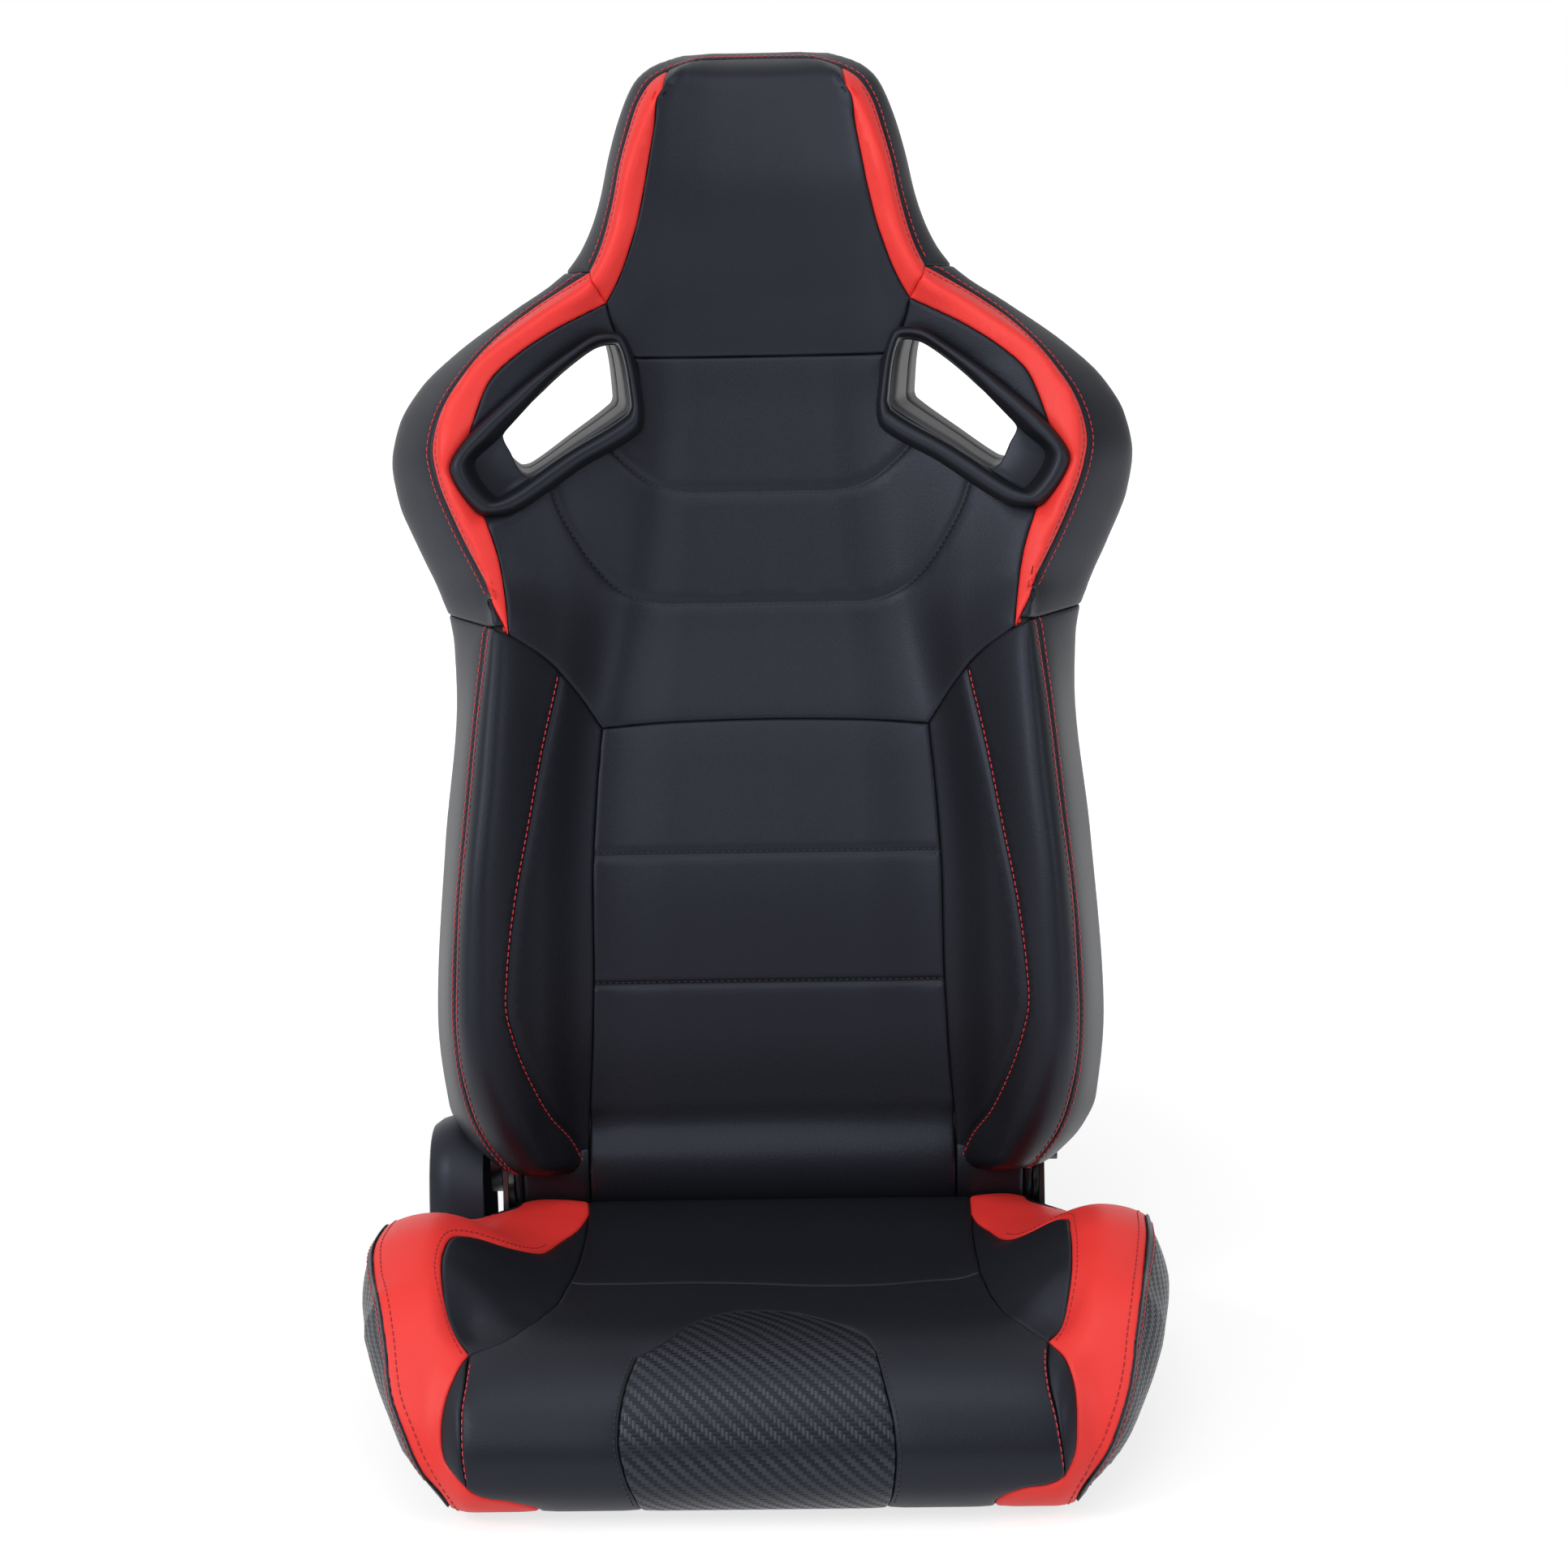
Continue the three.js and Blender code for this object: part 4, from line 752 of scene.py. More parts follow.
def add_node(tree, kind, sockets=None, links=None, **settings):
    """Adds a node: settings are its properties, sockets its typed-in inputs and links what feeds it."""
    node = tree.nodes.new(kind)
    for key, value in settings.items():
        setattr(node, key, value)
    for key, value in (sockets or {}).items():
        node.inputs[key].default_value = value
    for key, output in (links or {}).items():
        tree.links.new(output, node.inputs[key])
    return node


def empty_tree(owner):
    """The node tree of a new material or world, without its first nodes."""
    owner.use_nodes = True
    owner.node_tree.nodes.clear()
    return owner.node_tree


def new_material(name, **shader):
    """A material with its shader's plain values set, its node tree and its shader."""
    material = bpy.data.materials.new(name)
    tree = empty_tree(material)
    values = {key.replace("_", " "): value for key, value in shader.items()}
    principled = add_node(tree, "ShaderNodeBsdfPrincipled", values)
    add_node(tree, "ShaderNodeOutputMaterial", links={"Surface": principled.outputs[0]})
    return material, tree, principled


def object_space(tree):
    """Coordinates in metres that stay with the piece."""
    return add_node(tree, "ShaderNodeTexCoord").outputs["Object"]


def noise(tree, place, scale, detail):
    """Soft noise from 0 to 1; scale is how many of its patches fit in a metre."""
    sockets = {"Scale": scale, "Detail": detail}
    return add_node(tree, "ShaderNodeTexNoise", sockets, {"Vector": place}).outputs["Fac"]


def feed_shader(tree, shader, colours, factor, roughness, gloss, bump, height):
    """Feeds a shader: two colours mixed by factor, a range of roughness over gloss, and bumps from height."""
    first, second = colours
    mix = add_node(tree, "ShaderNodeMix", {"A": first, "B": second}, {"Factor": factor}, data_type="RGBA")
    low, high = roughness
    rough = add_node(tree, "ShaderNodeMapRange", {"To Min": low, "To Max": high}, {"Value": gloss})
    strength, distance = bump
    relief = add_node(tree, "ShaderNodeBump", {"Strength": strength, "Distance": distance}, {"Height": height})
    for name, output in (("Base Color", mix.outputs["Result"]), ("Roughness", rough.outputs[0]),
                         ("Normal", relief.outputs[0])):
        tree.links.new(output, shader.inputs[name])


def grain_leather(name, dark, light, roughness, **shader_values):
    """Embossed PU leather: pebbles about 1.5 mm across with fine creases between, and a satin top coat."""
    material, tree, shader = new_material(name, IOR=1.5, **shader_values)
    place = object_space(tree)
    mottle = noise(tree, place, 9.0, 3.0)
    pebble = add_node(tree, "ShaderNodeTexVoronoi", {"Scale": 1 / 0.0015}, {"Vector": place},
                      feature="SMOOTH_F1").outputs["Distance"]
    crease = noise(tree, place, 1 / 0.0009, 4.0)
    relief = add_node(tree, "ShaderNodeMath", links={0: pebble, 1: crease}, operation="ADD").outputs[0]
    feed_shader(tree, shader, (dark, light), mottle, (roughness - 0.05, roughness + 0.06), crease,
                (0.35, 0.00022), relief)
    return material


TOW = 0.0027


def twill_vinyl(name):
    """Vinyl embossed and printed like 2x2 twill carbon cloth: 2.7 mm tows, the lengthways ones brighter, a
    painted sheen.
    """
    material, tree, shader = new_material(name, IOR=1.5, Specular_IOR_Level=0.4, Specular_Tint=COOL_TINT)
    split = add_node(tree, "ShaderNodeSeparateXYZ",
                     links={0: add_node(tree, "ShaderNodeTexCoord").outputs["UV"]})

    def calculate(operation, *sources):
        typed = {i: source for i, source in enumerate(sources) if isinstance(source, (int, float))}
        linked = {i: source for i, source in enumerate(sources) if i not in typed}
        return add_node(tree, "ShaderNodeMath", typed, linked, operation=operation).outputs[0]

    def roundness(position):
        off = calculate("SUBTRACT", calculate("FRACT", position), 0.5)
        return calculate("SUBTRACT", 1, calculate("MULTIPLY", calculate("MULTIPLY", off, off), 4))

    across, along = (calculate("DIVIDE", split.outputs[axis], TOW) for axis in "XY")
    cells = calculate("SUBTRACT", calculate("FLOOR", across), calculate("FLOOR", along))
    on_top = calculate("LESS_THAN", calculate("FLOORED_MODULO", cells, 4), 2)
    height = add_node(tree, "ShaderNodeMix", links={"Factor": on_top, "A": roundness(along),
                                                    "B": roundness(across)})
    # The upper tows' brighter colour is a painted sheen; their glossier roughness and their bumps are real.
    feed_shader(tree, shader, (linear("#050607"), linear("#292b31")), on_top, (0.46, 0.3), on_top,
                (0.6, 0.0003), height.outputs["Result"])
    return material


def rough_surface(name, colour, other, roughness, grain, depth, **shader_values):
    """A surface with an even fine texture: grain is its size in metres and depth the height of its bumps."""
    material, tree, shader = new_material(name, **shader_values)
    place = object_space(tree)
    fine, broad = noise(tree, place, 1 / grain, 3.0), noise(tree, place, 24.0, 4.0)
    feed_shader(tree, shader, (linear(colour), linear(other)), broad,
                (roughness - 0.06, roughness + 0.06), broad, (0.4, depth), fine)
    return material


def make_finishes(colours):
    """All the seat's materials, each named for what the real one is."""
    MATERIALS.update({
        # Two shades of the same hide let the panels look cut from one roll, not printed.
        # The matt top coat of the black one gives its highlights a cool tint.
        "black_leather": grain_leather("embossed PU leather, black", colours.black_dark, colours.black_light,
                                       0.43, Specular_IOR_Level=0.36, Specular_Tint=COOL_TINT),
        "red_leather": grain_leather("embossed PU leather, red", colours.red_dark, colours.red_light,
                                     0.46, Specular_IOR_Level=0.3),
        # Glossy printed tows, like woven carbon, that catch the light one way and go dark the other; that sheen
        # is painted into the tows' two colours.
        "carbon_vinyl": twill_vinyl("twill-embossed vinyl"),
        # Spunbonded polypropylene: a dull black felt-like cloth.
        "lining_cloth": rough_surface("spunbonded lining, black", "#0c0c0e", "#121214", 0.85, 0.0012, 0.0002),
        # Injection-moulded ABS with a fine spark-eroded skin, satin black.
        "moulded_abs": rough_surface("moulded ABS, black", "#121317", "#17191d", 0.42, 0.0006, 0.00004,
                                     IOR=1.53, Specular_IOR_Level=0.36, Specular_Tint=COOL_TINT),
        # The tunnel is moulded in a duller ABS; its grey is a painted reflection of the light that comes
        # through the opening, so its walls show against the rim.
        "tunnel_abs_painted_reflection": rough_surface("moulded ABS, grey painted reflection", "#4a4b50", "#54555a", 0.5, 0.0006, 0.00004, IOR=1.53),
        # Powder coat: a slight orange peel on a half-gloss black.
        "powder_coat": rough_surface("powder-coated steel, black", "#0f1011", "#17181a", 0.34, 0.0016, 0.0001),
        # Black-passivated zinc plate: a dark, still glossy metal with faint cloudy patches.
        "zinc_plate": rough_surface("zinc-plated steel", "#4c4d50", "#606164", 0.28, 0.002, 0.00003,
                                    Metallic=1.0),
        # Oil-tempered spring wire: dark and slightly drawn along its length.
        "spring_wire": rough_surface("oil-tempered spring steel", "#3b3d42", "#55575c", 0.34, 0.001, 0.00005,
                                     Metallic=1.0),
    })
    # Bonded polyester thread: a soft sheen along the strand.
    for shade, dark, light in (("red", "#c02430", "#d63c46"), ("crimson", "#8c1019", "#a81c24"),
                               ("black", "#141519", "#2a2b30")):
        MATERIALS[f"{shade}_thread"] = rough_surface(f"polyester thread, {shade}", dark, light,
                                                     0.5, 0.0004, 0.0001)


# ---------- the backrest's seams, as (x, u) seen from the front ----------

CENTRE_SIDE = [(137, -10), (136, 20), (132, 82), (129.6, 134), (128, 233), (124, 290), (120.6, 325.6)]
BOLSTER_TOP = [(120.6, 325.6), (138, 353), (155, 374), (183, 395), (203, 402)]
BOLSTER_RIDGE = [(138.5, 2), (148, 21), (161.5, 41), (174, 68), (184.5, 100), (188.6, 121), (187.6, 145),
                 (182, 195), (172, 251), (160, 316), (149, 364)]
BOLSTER_SEAM = [(190, -8), (202, 6), (212, 21), (226, 66), (230, 113), (229, 143), (226, 200), (219, 263),
                (211, 340), (206, 380), (203, 402)]
BAND_INNER = [(184, 396), (187, 424), (194, 460), (203, 484), (216, 507), (219, 519), (213, 538), (207, 560),
              (196, 585), (177.5, 602), (154, 618), (111.5, 640)]
BAND_OUTER = [(184, 396), (209, 442), (227, 479), (240, 514), (243, 532), (240, 551), (233, 569),
              (221, 588), (188, 625.5), (162, 644.5), (134, 661), (126, 665)]
HEAD_SIDE = [(111.5, 640), (102.5, 656), (92, 683), (83, 717), (75, 758), (70.6, 788), (67.5, 808), (65.5, 816)]
HEAD_BAND = [(126, 665), (120.5, 676), (109, 712), (101, 748), (96, 766), (87, 793), (78, 807), (65.5, 816)]
HEAD_TOP = [(65.5, 816), (50, 821.5), (26, 823.8), (0, 824.3)]
HEAD_BOTTOM = [(111.5, 640), (107, 623), (99, 606), (93, 601)]
NECK = [(126, 665), (150, 671)]
YOKE_SEAM = [(112, 535), (100, 523), (82, 509), (68, 503.5), (58, 501.5), (30, 501), (0, 501)]
LUMBAR_SEAM = [(154, 505), (149, 490), (137, 467), (124, 447), (111, 433), (96, 423.5), (84, 419.5),
               (50, 418), (0, 418)]
PAD_TOP = [(120.6, 325.6), (90, 328.5), (40, 330.5), (0, 331)]
PAD_SEAMS = [231, 134]
PAD_HALF = 137
# How much the seam between bolster and wing rises to the gusset, and where the bands' stitches begin.
GUSSET_RISE, BAND_ROW_START = 14, 428


def stroke(points):
    """A seam line drawn smoothly in the front view and laid on the backrest."""
    return on_back(trace(points))


def headrest_foot():
    """The headrest's lower seam, from its right end over the middle to its left one."""
    right, (x, u) = stroke(HEAD_BOTTOM), HEAD_BOTTOM[-1]
    return np.vstack([joined(right, on_back(straight((x, u), (-x, u)))), mirrored(right)])


def at_ridge(flat):
    """Where a panel turns over the backrest's very top, so that its edge isn't rolled there."""
    return flat[:, 1] > V_HIGH - 0.6


# ---------- pieces ----------

class SEAT_OT_finishes(bpy.types.Operator):
    """Mixes the leathers, vinyl, threads, plastic and metals"""

    bl_idname = "seat.finishes"
    bl_label = "Finishes"

    def execute(self, context):
        make_finishes(context.scene.seat_colours)
        return {"FINISHED"}


FINE_BLACK = {"thread": "black_thread", "length": 3.0, "gap": 1.6, "both": False}


class SEAT_OT_back_pads(bpy.types.Operator):
    """Sews the backrest's centre pad and the upper pad with its two curved seams"""

    bl_idname = "seat.back_pads"
    bl_label = "Back pads"

    def execute(self, context):
        side = on_back(np.array([(x, max(u, -14)) for x, u in trace(CENTRE_SIDE)]))
        side = side[side[:, 1] > 3]
        under = np.stack([np.linspace(PAD_HALF, PAD_HALF - 0.2, 60), np.linspace(ROLL_LOW, 3, 60)], 1)
        right = np.vstack([under, side])
        top = stroke(whole(PAD_TOP))
        bottom = np.stack([np.linspace(-PAD_HALF, PAD_HALF, 90), np.full(90, ROLL_LOW)], 1)
        halves = [(valley(u) - 1, u) for u in PAD_SEAMS]
        seams = [on_back(straight((-half, u), (half, u))) for half, u in halves]
        pad = Panel(centre_skin, [joined(bottom, right, top, mirrored(right))],
                    channels=[(line, 2.0, 2.6) for line in seams])
        sew_panel("back_centre_pad", pad, "black_leather", "backrest", ["backrest_centre_pad"])
        for line in seams:
            stitches(pad, line, 1.6, **FINE_BLACK)

        hole = on_back(trace(grown(OPENING_FRONT, 2.5), closed=True))
        shoulder, band = stroke(BOLSTER_TOP[:4]), stroke(BAND_INNER)
        outline = joined(shoulder, band, headrest_foot(), mirrored(band), mirrored(shoulder), top[::-1])
        seams = [stroke(whole(YOKE_SEAM)), stroke(whole(LUMBAR_SEAM))]
        pad = Panel(back_skin, [outline, hole, mirrored(hole)],
                    channels=[(line, 1.7, 2.4) for line in seams])
        sew_panel("upper_pad", pad, "black_leather", "backrest", ["upper_back_pad"])
        for line in seams:
            stitches(pad, line, 1.5, **FINE_BLACK)
        return {"FINISHED"}


class SEAT_OT_bolsters(bpy.types.Operator):
    """Sews the backrest's bolsters with their contrast stitching, and the gussets beside them"""

    bl_idname = "seat.bolsters"
    bl_label = "Backrest bolsters"

    def execute(self, context):
        ridge, seam, inner = stroke(BOLSTER_RIDGE), stroke(BOLSTER_SEAM), stroke(CENTRE_SIDE)
        foot = straight(inner[0], seam[0], step=3)
        bolster = Panel(back_skin, [joined(foot, seam, stroke(BOLSTER_TOP)[::-1], inner[::-1])],
                        channels=[(ridge, 1.8, 2.2)])
        sew_pair("back_bolster", bolster, "black_leather", "backrest", ["backrest_bolster"])
        stitches(bolster, ridge, -3.4)
        stitches(bolster, seam, 4.6)
        low, high = seam[0, 1], seam[-1, 1]
        gusset_seam = around(SIDE_SEAM_T, low, high + GUSSET_RISE)
        foot, top = straight(gusset_seam[0], seam[0]), straight(seam[-1], gusset_seam[-1])
        side = Panel(back_skin, [joined(gusset_seam[::-1], foot, seam, top)])
        sew_pair("back_bolster_side", side, "black_leather", "backrest")
        stitches(side, seam, -4.6)
        return {"FINISHED"}


class SEAT_OT_shoulders(bpy.types.Operator):
    """Sews the red shoulder bands, the black wings outside them and the vinyl gussets round the sides"""

    bl_idname = "seat.shoulders"
    bl_label = "Shoulders"

    def execute(self, context):
        inner, outer = stroke(BAND_INNER), stroke(BAND_OUTER)
        across = straight(inner[-1], outer[-1])
        row = outer[outer[:, 1] > BAND_ROW_START]
        band = Panel(back_skin, [joined(outer, across[::-1], inner[::-1])],
                     channels=[(back_skin.beside(row, 5.8), 0.6, 1.5)])
        sew_pair("shoulder_band_cover", band, "red_leather", "backrest", ["shoulder_band"])
        stitches(band, row, 5.8, "crimson_thread")
        neck = stroke(NECK)
        bolster_top = on_back(BOLSTER_SEAM[-1:])[0]
        gusset_seam = around(SIDE_SEAM_T, bolster_top[1] + GUSSET_RISE, neck[-1, 1])
        start = np.argmin(np.abs(outer[:, 1] - bolster_top[1]))
        low = straight(gusset_seam[0], bolster_top, outer[start])
        high = straight(neck[0], gusset_seam[-1])
        wing = Panel(back_skin, [joined(low, outer[start:], high, gusset_seam[::-1])])
        sew_pair("shoulder_wing_cover", wing, "black_leather", "backrest", ["shoulder_wing"])
        stitches(wing, row[:-3], -5.2)
        rear, front = (around(t, V_LOW + 2, CAP_FOOT) for t in (REAR_CORNER, SIDE_SEAM_T))
        foot, head = straight(front[0], rear[0]), straight(rear[-1], front[-1])
        gusset = Panel(back_skin, [joined(foot, rear, head, front[::-1])])
        sew_pair("side_gusset", gusset, "carbon_vinyl", "backrest")
        loop = both_halves(around(SIDE_SEAM_T + 0.4, 6, 812), 4)
        hole = on_back(trace(grown(OPENING_FRONT, 4), closed=True))
        line_with_foam("backrest_lining", back_skin, [loop, hole, mirrored(hole)], "backrest")
        return {"FINISHED"}


class SEAT_OT_headrest(bpy.types.Operator):
    """Sews the headrest: pad, red bands and the black border that wraps over the top"""

    bl_idname = "seat.headrest"
    bl_label = "Headrest"

    def execute(self, context):
        side, top = stroke(HEAD_SIDE), stroke(whole(HEAD_TOP))
        pad = Panel(back_skin, [joined(headrest_foot()[::-1], side, top, mirrored(side))])
        sew_panel("head_pad", pad, "black_leather", "backrest", ["headrest_pad"])
        edge = stroke(HEAD_BAND)
        row = edge[3:-9]
        band = Panel(back_skin, [joined(straight(side[0], edge[0]), edge, side[::-1])],
                     channels=[(back_skin.beside(row, 5.4), 0.6, 1.5)])
        sew_pair("head_band", band, "red_leather", "backrest", ["headrest_band"])
        stitches(band, row, 5.4, "crimson_thread")
        wrap = around(SIDE_SEAM_T, stroke(NECK)[-1, 1], CAP_FOOT)
        back = around(REAR_CORNER, CAP_FOOT, V_HIGH)
        half = np.vstack([joined(straight(edge[0], wrap[0]), wrap, straight(wrap[-1], back[0])), back])
        inner = np.vstack([joined(edge, top), mirrored(edge)])
        outline = joined(half, over_middle(back[-1]), mirrored(half), inner[::-1])
        border = Panel(back_skin, [outline], open_edge=at_ridge)
        sew_panel("head_border", border, "black_leather", "backrest", ["headrest_border"])
        stitches(border, edge[2:], -4.6)
        stitches(border, top, -4.4, both=False)
        return {"FINISHED"}


class SEAT_OT_rear(bpy.types.Operator):
    """Covers the back of the backrest: the rear panel with the harness holes, and the covers round it"""

    bl_idname = "seat.rear"
    bl_label = "Rear panel"

    def execute(self, context):
        u = np.linspace(REAR_FOOT_TOP + 1, CAP_FOOT - 1, 250)
        right = np.stack([back_edge(u) - WRAP - 1, u], 1)
        hole = trace(grown(OPENING_REAR, 4), closed=True)
        seam = straight((-220, 436), (220, 436), step=3)
        panel = Panel(rear_panel_skin, [both_halves(right, 3), hole, mirrored(hole)],
                      channels=[(seam, 1.2, 2.4)])
        sew_panel("rear_cover", panel, "black_leather", "backrest", ["rear_panel"])
        for offset in (3.2, -3.2):
            stitches(panel, seam, offset, both=False)
        for name, low, high, widest, open_edge in (("rear_top", CAP_FOOT, V_HIGH, WIDEST, at_ridge),
                                                   ("rear_foot", V_LOW, REAR_FOOT_TOP, FOOT_HALF, None)):
            v = np.linspace(low, high, 30)
            right = np.stack([np.minimum(back_edge(rounding(v)[0]) - WRAP, widest), v], 1)
            piece = Panel(rear_skin, [both_halves(right, 3)], open_edge=open_edge)
            sew_panel(name, piece, "black_leather", "backrest")
        inner, outer, top = PAD_HALF + 0.4, PAD_HALF + 50, 12
        corners = straight((inner, ROLL_LOW), (outer, ROLL_LOW), (outer, top), (inner, top), (inner, ROLL_LOW))
        sew_pair("roll_end", Panel(Skin(roll_place), [corners[:-1]]), "black_leather", "backrest")
        angles = np.linspace(0, 2 * math.pi, 48, endpoint=False)
        rings = [from_backrest(0 * angles + x, radius * np.cos(angles), radius * np.sin(angles))
                 for x, radius in SPACER_PROFILE]
        add_pair("hinge_spacer", *ring_mesh(rings), "moulded_abs")
        return {"FINISHED"}


# Across the seat and out from the hinge axis, round the section of a spacer between backrest and recliner arm.
SPACER_PROFILE = [(187.4, 9), (187.4, 41), (188.4, 42), (193.2, 42), (194.2, 41), (194.2, 12), (193.4, 11),
                  (193.4, 9)]


def roll_place(xv):
    """The roll about the hinge that closes the backrest below."""
    angle = xv[:, 1] / ROLL_END_RADIUS
    return from_backrest(xv[:, 0], ROLL_END_RADIUS * np.cos(angle), ROLL_END_RADIUS * np.sin(angle))


def ring_mesh(rings):
    """A closed smooth tube of faces through rings of as many points, joined end to end."""
    count = len(rings[0])
    faces = [[i * count + k, i * count + (k + 1) % count,
              ((i + 1) % len(rings)) * count + (k + 1) % count, ((i + 1) % len(rings)) * count + k]
             for i in range(len(rings)) for k in range(count)]
    return np.vstack(rings), faces


def add_pair(name, points, faces, finish, nodes=()):
    """The same moulding on both sides of the backrest; node names get the side's name."""
    for side, sign in SIDES.items():
        piece = add_mesh(f"{name}_{side}", points, faces, MATERIALS[finish], "backrest",
                         mirror=sign < 0)
        if nodes:
            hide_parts(*[f"{node}_{side}" for node in nodes])


# A bezel's outlines have this many points between every two corners; lengths are in mm.
BEZEL_SPAN = 14
RIM_WIDTH, WEB_DEPTH, TUNNEL_WALL, FLANGE_WIDTH = 15.5, 3.0, 1.2, 15
# The rim is a fat rounded bead and the rear flange a flatter one: the share of the way in, and the height.
BEAD = [(0.0, -14.0), (-0.02, 0.0), (-0.03, 2.5), (0.0, 5.5), (0.08, 8.6), (0.2, 11.2), (0.35, 12.8),
        (0.5, 13.2), (0.64, 12.6), (0.78, 10.6), (0.88, 8.0), (0.95, 5.0), (1.0, 1.6)]
FLANGE = [(0.0, -1.0), (-0.02, 2.0), (0.08, 5.0), (0.3, 7.4), (0.6, 8.0), (0.85, 6.6), (0.96, 3), (1, 0)]


def bezel_loop(points):
    """A closed smooth line through a bezel's corners."""
    p = np.array(points, float)
    t = (np.arange(BEZEL_SPAN) / BEZEL_SPAN)[:, None]
    spans = []
    for i in range(len(p)):
        a, b, c, d = (p[(i + k) % len(p)] for k in (-1, 0, 1, 2))
        width = np.linalg.norm(c - b)
        start, end = (way / np.linalg.norm(way) * width * 0.8 for way in (c - a, d - b))
        spans.append(hermite(t, b, start, c, end))
    return np.vstack(spans)


class SEAT_OT_bezels(bpy.types.Operator):
    """Moulds the harness bezels: a rounded rim, a recessed web and the tunnel in two halves"""

    bl_idname = "seat.bezels"
    bl_label = "Harness bezels"

    def execute(self, context):
        outline, opening, rear, mouth = (
            bezel_loop(line) for line in (BEZEL_OUTLINE, OPENING_FRONT, OPENING_REAR, TUNNEL_MOUTH))
        reach = np.linalg.norm(opening - outline, axis=1)
        rim_end = outline + (opening - outline) * np.minimum(1, RIM_WIDTH / reach)[:, None]
        rear_plane = back_rear(rear[:, 1]) - 3.9
        outer_mouth, outer_rear = grown(mouth, TUNNEL_WALL), grown(rear, TUNNEL_WALL)
        flange = grown(rear, FLANGE_WIDTH)

        def ring(points, height):
            return from_backrest(points[:, 0], bezel_plane(points[:, 0]) + 0.6 + height, points[:, 1])

        def rear_ring(points, height):
            return from_backrest(points[:, 0], rear_plane - height, points[:, 1])

        # Inside the rim the web lies lower and carries the tunnel's mouth.
        front = [ring(outline + (rim_end - outline) * share, height) for share, height in BEAD]
        front += [ring(rim_end + (opening - rim_end) * 0.9, 1 - WEB_DEPTH), ring(opening, -WEB_DEPTH),
                  ring(opening + (mouth - opening) * 0.96, -WEB_DEPTH), ring(mouth, -WEB_DEPTH - 0.5),
                  ring(mouth, -WEB_DEPTH - 2.5), ring(outer_mouth, -WEB_DEPTH - 2.5)]
        back = [rear_ring(flange + (rear - flange) * share, height) for share, height in FLANGE]
        back += [rear_ring(rear, -4), rear_ring(outer_rear, -4)]

        # The tunnel's two halves meet in a fine parting groove, a third of the way from the rear.
        start, end = ring(mouth, -WEB_DEPTH - 2.8), rear_ring(rear, -4.3)
        outer_start, outer_end = ring(outer_mouth, -WEB_DEPTH - 2.8), rear_ring(outer_rear, -4.3)
        tunnel = [start + (end - start) * share for share in (0.0, 0.3, 0.643, 0.65, 0.657, 0.8, 1.0)]
        tunnel[3] = tunnel[3] + (outer_start - start) * 0.6
        tunnel += [outer_end, outer_start]
        halves = ["harness_bezel_front", "harness_bezel_rear"]
        # The tunnel's grey finish is a painted reflection of the light through the opening.
        for name, rings, finish, nodes in (("bezel_front", front, "moulded_abs", halves[:1]),
                                           ("bezel_rear", back, "moulded_abs", halves[1:]),
                                           ("bezel_tunnel", tunnel, "tunnel_abs_painted_reflection", halves)):
            points, faces = ring_mesh(rings)
            add_pair(name, points, [face[::-1] for face in faces], finish, nodes)
        return {"FINISHED"}


# ---------- the cushion's seams, as (x, w) ----------

CUSHION_SEAMS = {
    "right": {
        "centre": [(147, 58), (147, 127), (147, 179), (149, 262)],
        "ear": [(149, 262), (157, 317.5), (169, 355), (193.5, 387)],
        "ear_outer": [(147, 112), (151, 135), (158, 157), (169, 201), (178, 222), (190, 236), (203, 243),
                      (210, 256), (211.5, 285), (211.5, 317.5), (208.5, 350), (202, 371), (193.5, 387)],
        "wedge": [(193.5, 387), (192, 416), (193.5, 433), (197, 450), (200, 467), (202, 481.5), (203, 493)],
        "wedge_outer": [(193.5, 387), (204, 407), (210.5, 428.5), (212, 452.5), (210, 475), (203, 493)],
        "foot": [(203, 493), (192, 500), (172, 505), (158, 516), (156, 546)],
        "outer": [(268.5, 249), (266.5, 297), (262, 338.5), (257.5, 375), (253.5, 396), (250.5, 415.5),
                  (244, 441), (236.5, 461), (224, 487), (214, 510), (210, 546)],
    },
    "left": {
        "centre": [(-140, 58), (-136.5, 105), (-135.5, 171), (-138, 251), (-139, 262)],
        "ear": [(-139, 262), (-145.5, 313), (-159.5, 355), (-173, 376.5), (-198.5, 394.5)],
        "ear_outer": [(-136.5, 101), (-142, 135), (-151, 165), (-166, 225), (-185, 255), (-204, 273),
                      (-216, 288.5), (-221.5, 315), (-219.5, 347), (-213.5, 369), (-198.5, 394.5)],
        "wedge": [(-198.5, 394.5), (-200, 422), (-202.5, 443.5), (-202.5, 458), (-201.5, 476), (-199, 498)],
        "wedge_outer": [(-198.5, 394.5), (-208, 417), (-214.5, 434.5), (-217.5, 455.5), (-215.5, 472.5),
                        (-207, 488), (-199, 498)],
        "foot": [(-199, 498), (-189.5, 507), (-170, 514), (-154, 524), (-152, 546)],
        "outer": [(-270, 249), (-273.5, 302), (-266.5, 349.5), (-257, 393.5), (-250, 433), (-240.5, 456.5),
                  (-228, 487.5), (-217, 512), (-212, 546)],
    },
}
CROSS_SEAM = [(-139, 262), (-94.5, 263), (-54.5, 262), (-8.5, 266), (37.5, 273), (83, 272), (123, 263),
              (149, 262)]
PATCH = [(-86.5, 508.5), (-92, 487.5), (-95.5, 466.5), (-95, 451.5), (-91.5, 429), (-84.5, 400.5)]
PATCH_TOP = [(-84.5, 400.5), (-67.5, 386), (-44.5, 355), (-20.5, 336), (12.5, 337), (45.5, 359), (68.5, 380.5),
             (76, 396)]
PATCH_RIGHT = [(76, 396), (81, 423), (87, 452), (89, 473.5), (86.5, 508.5)]
PATCH_END = [(80, 546), (-80, 546)]
# The cushion's cover starts at this w behind, and its bolsters part from its pad at this one.
CUSHION_START, PAD_END = -52, 56
FINE_BLACK_EDGE = {**FINE_BLACK, "gap": 1.5}
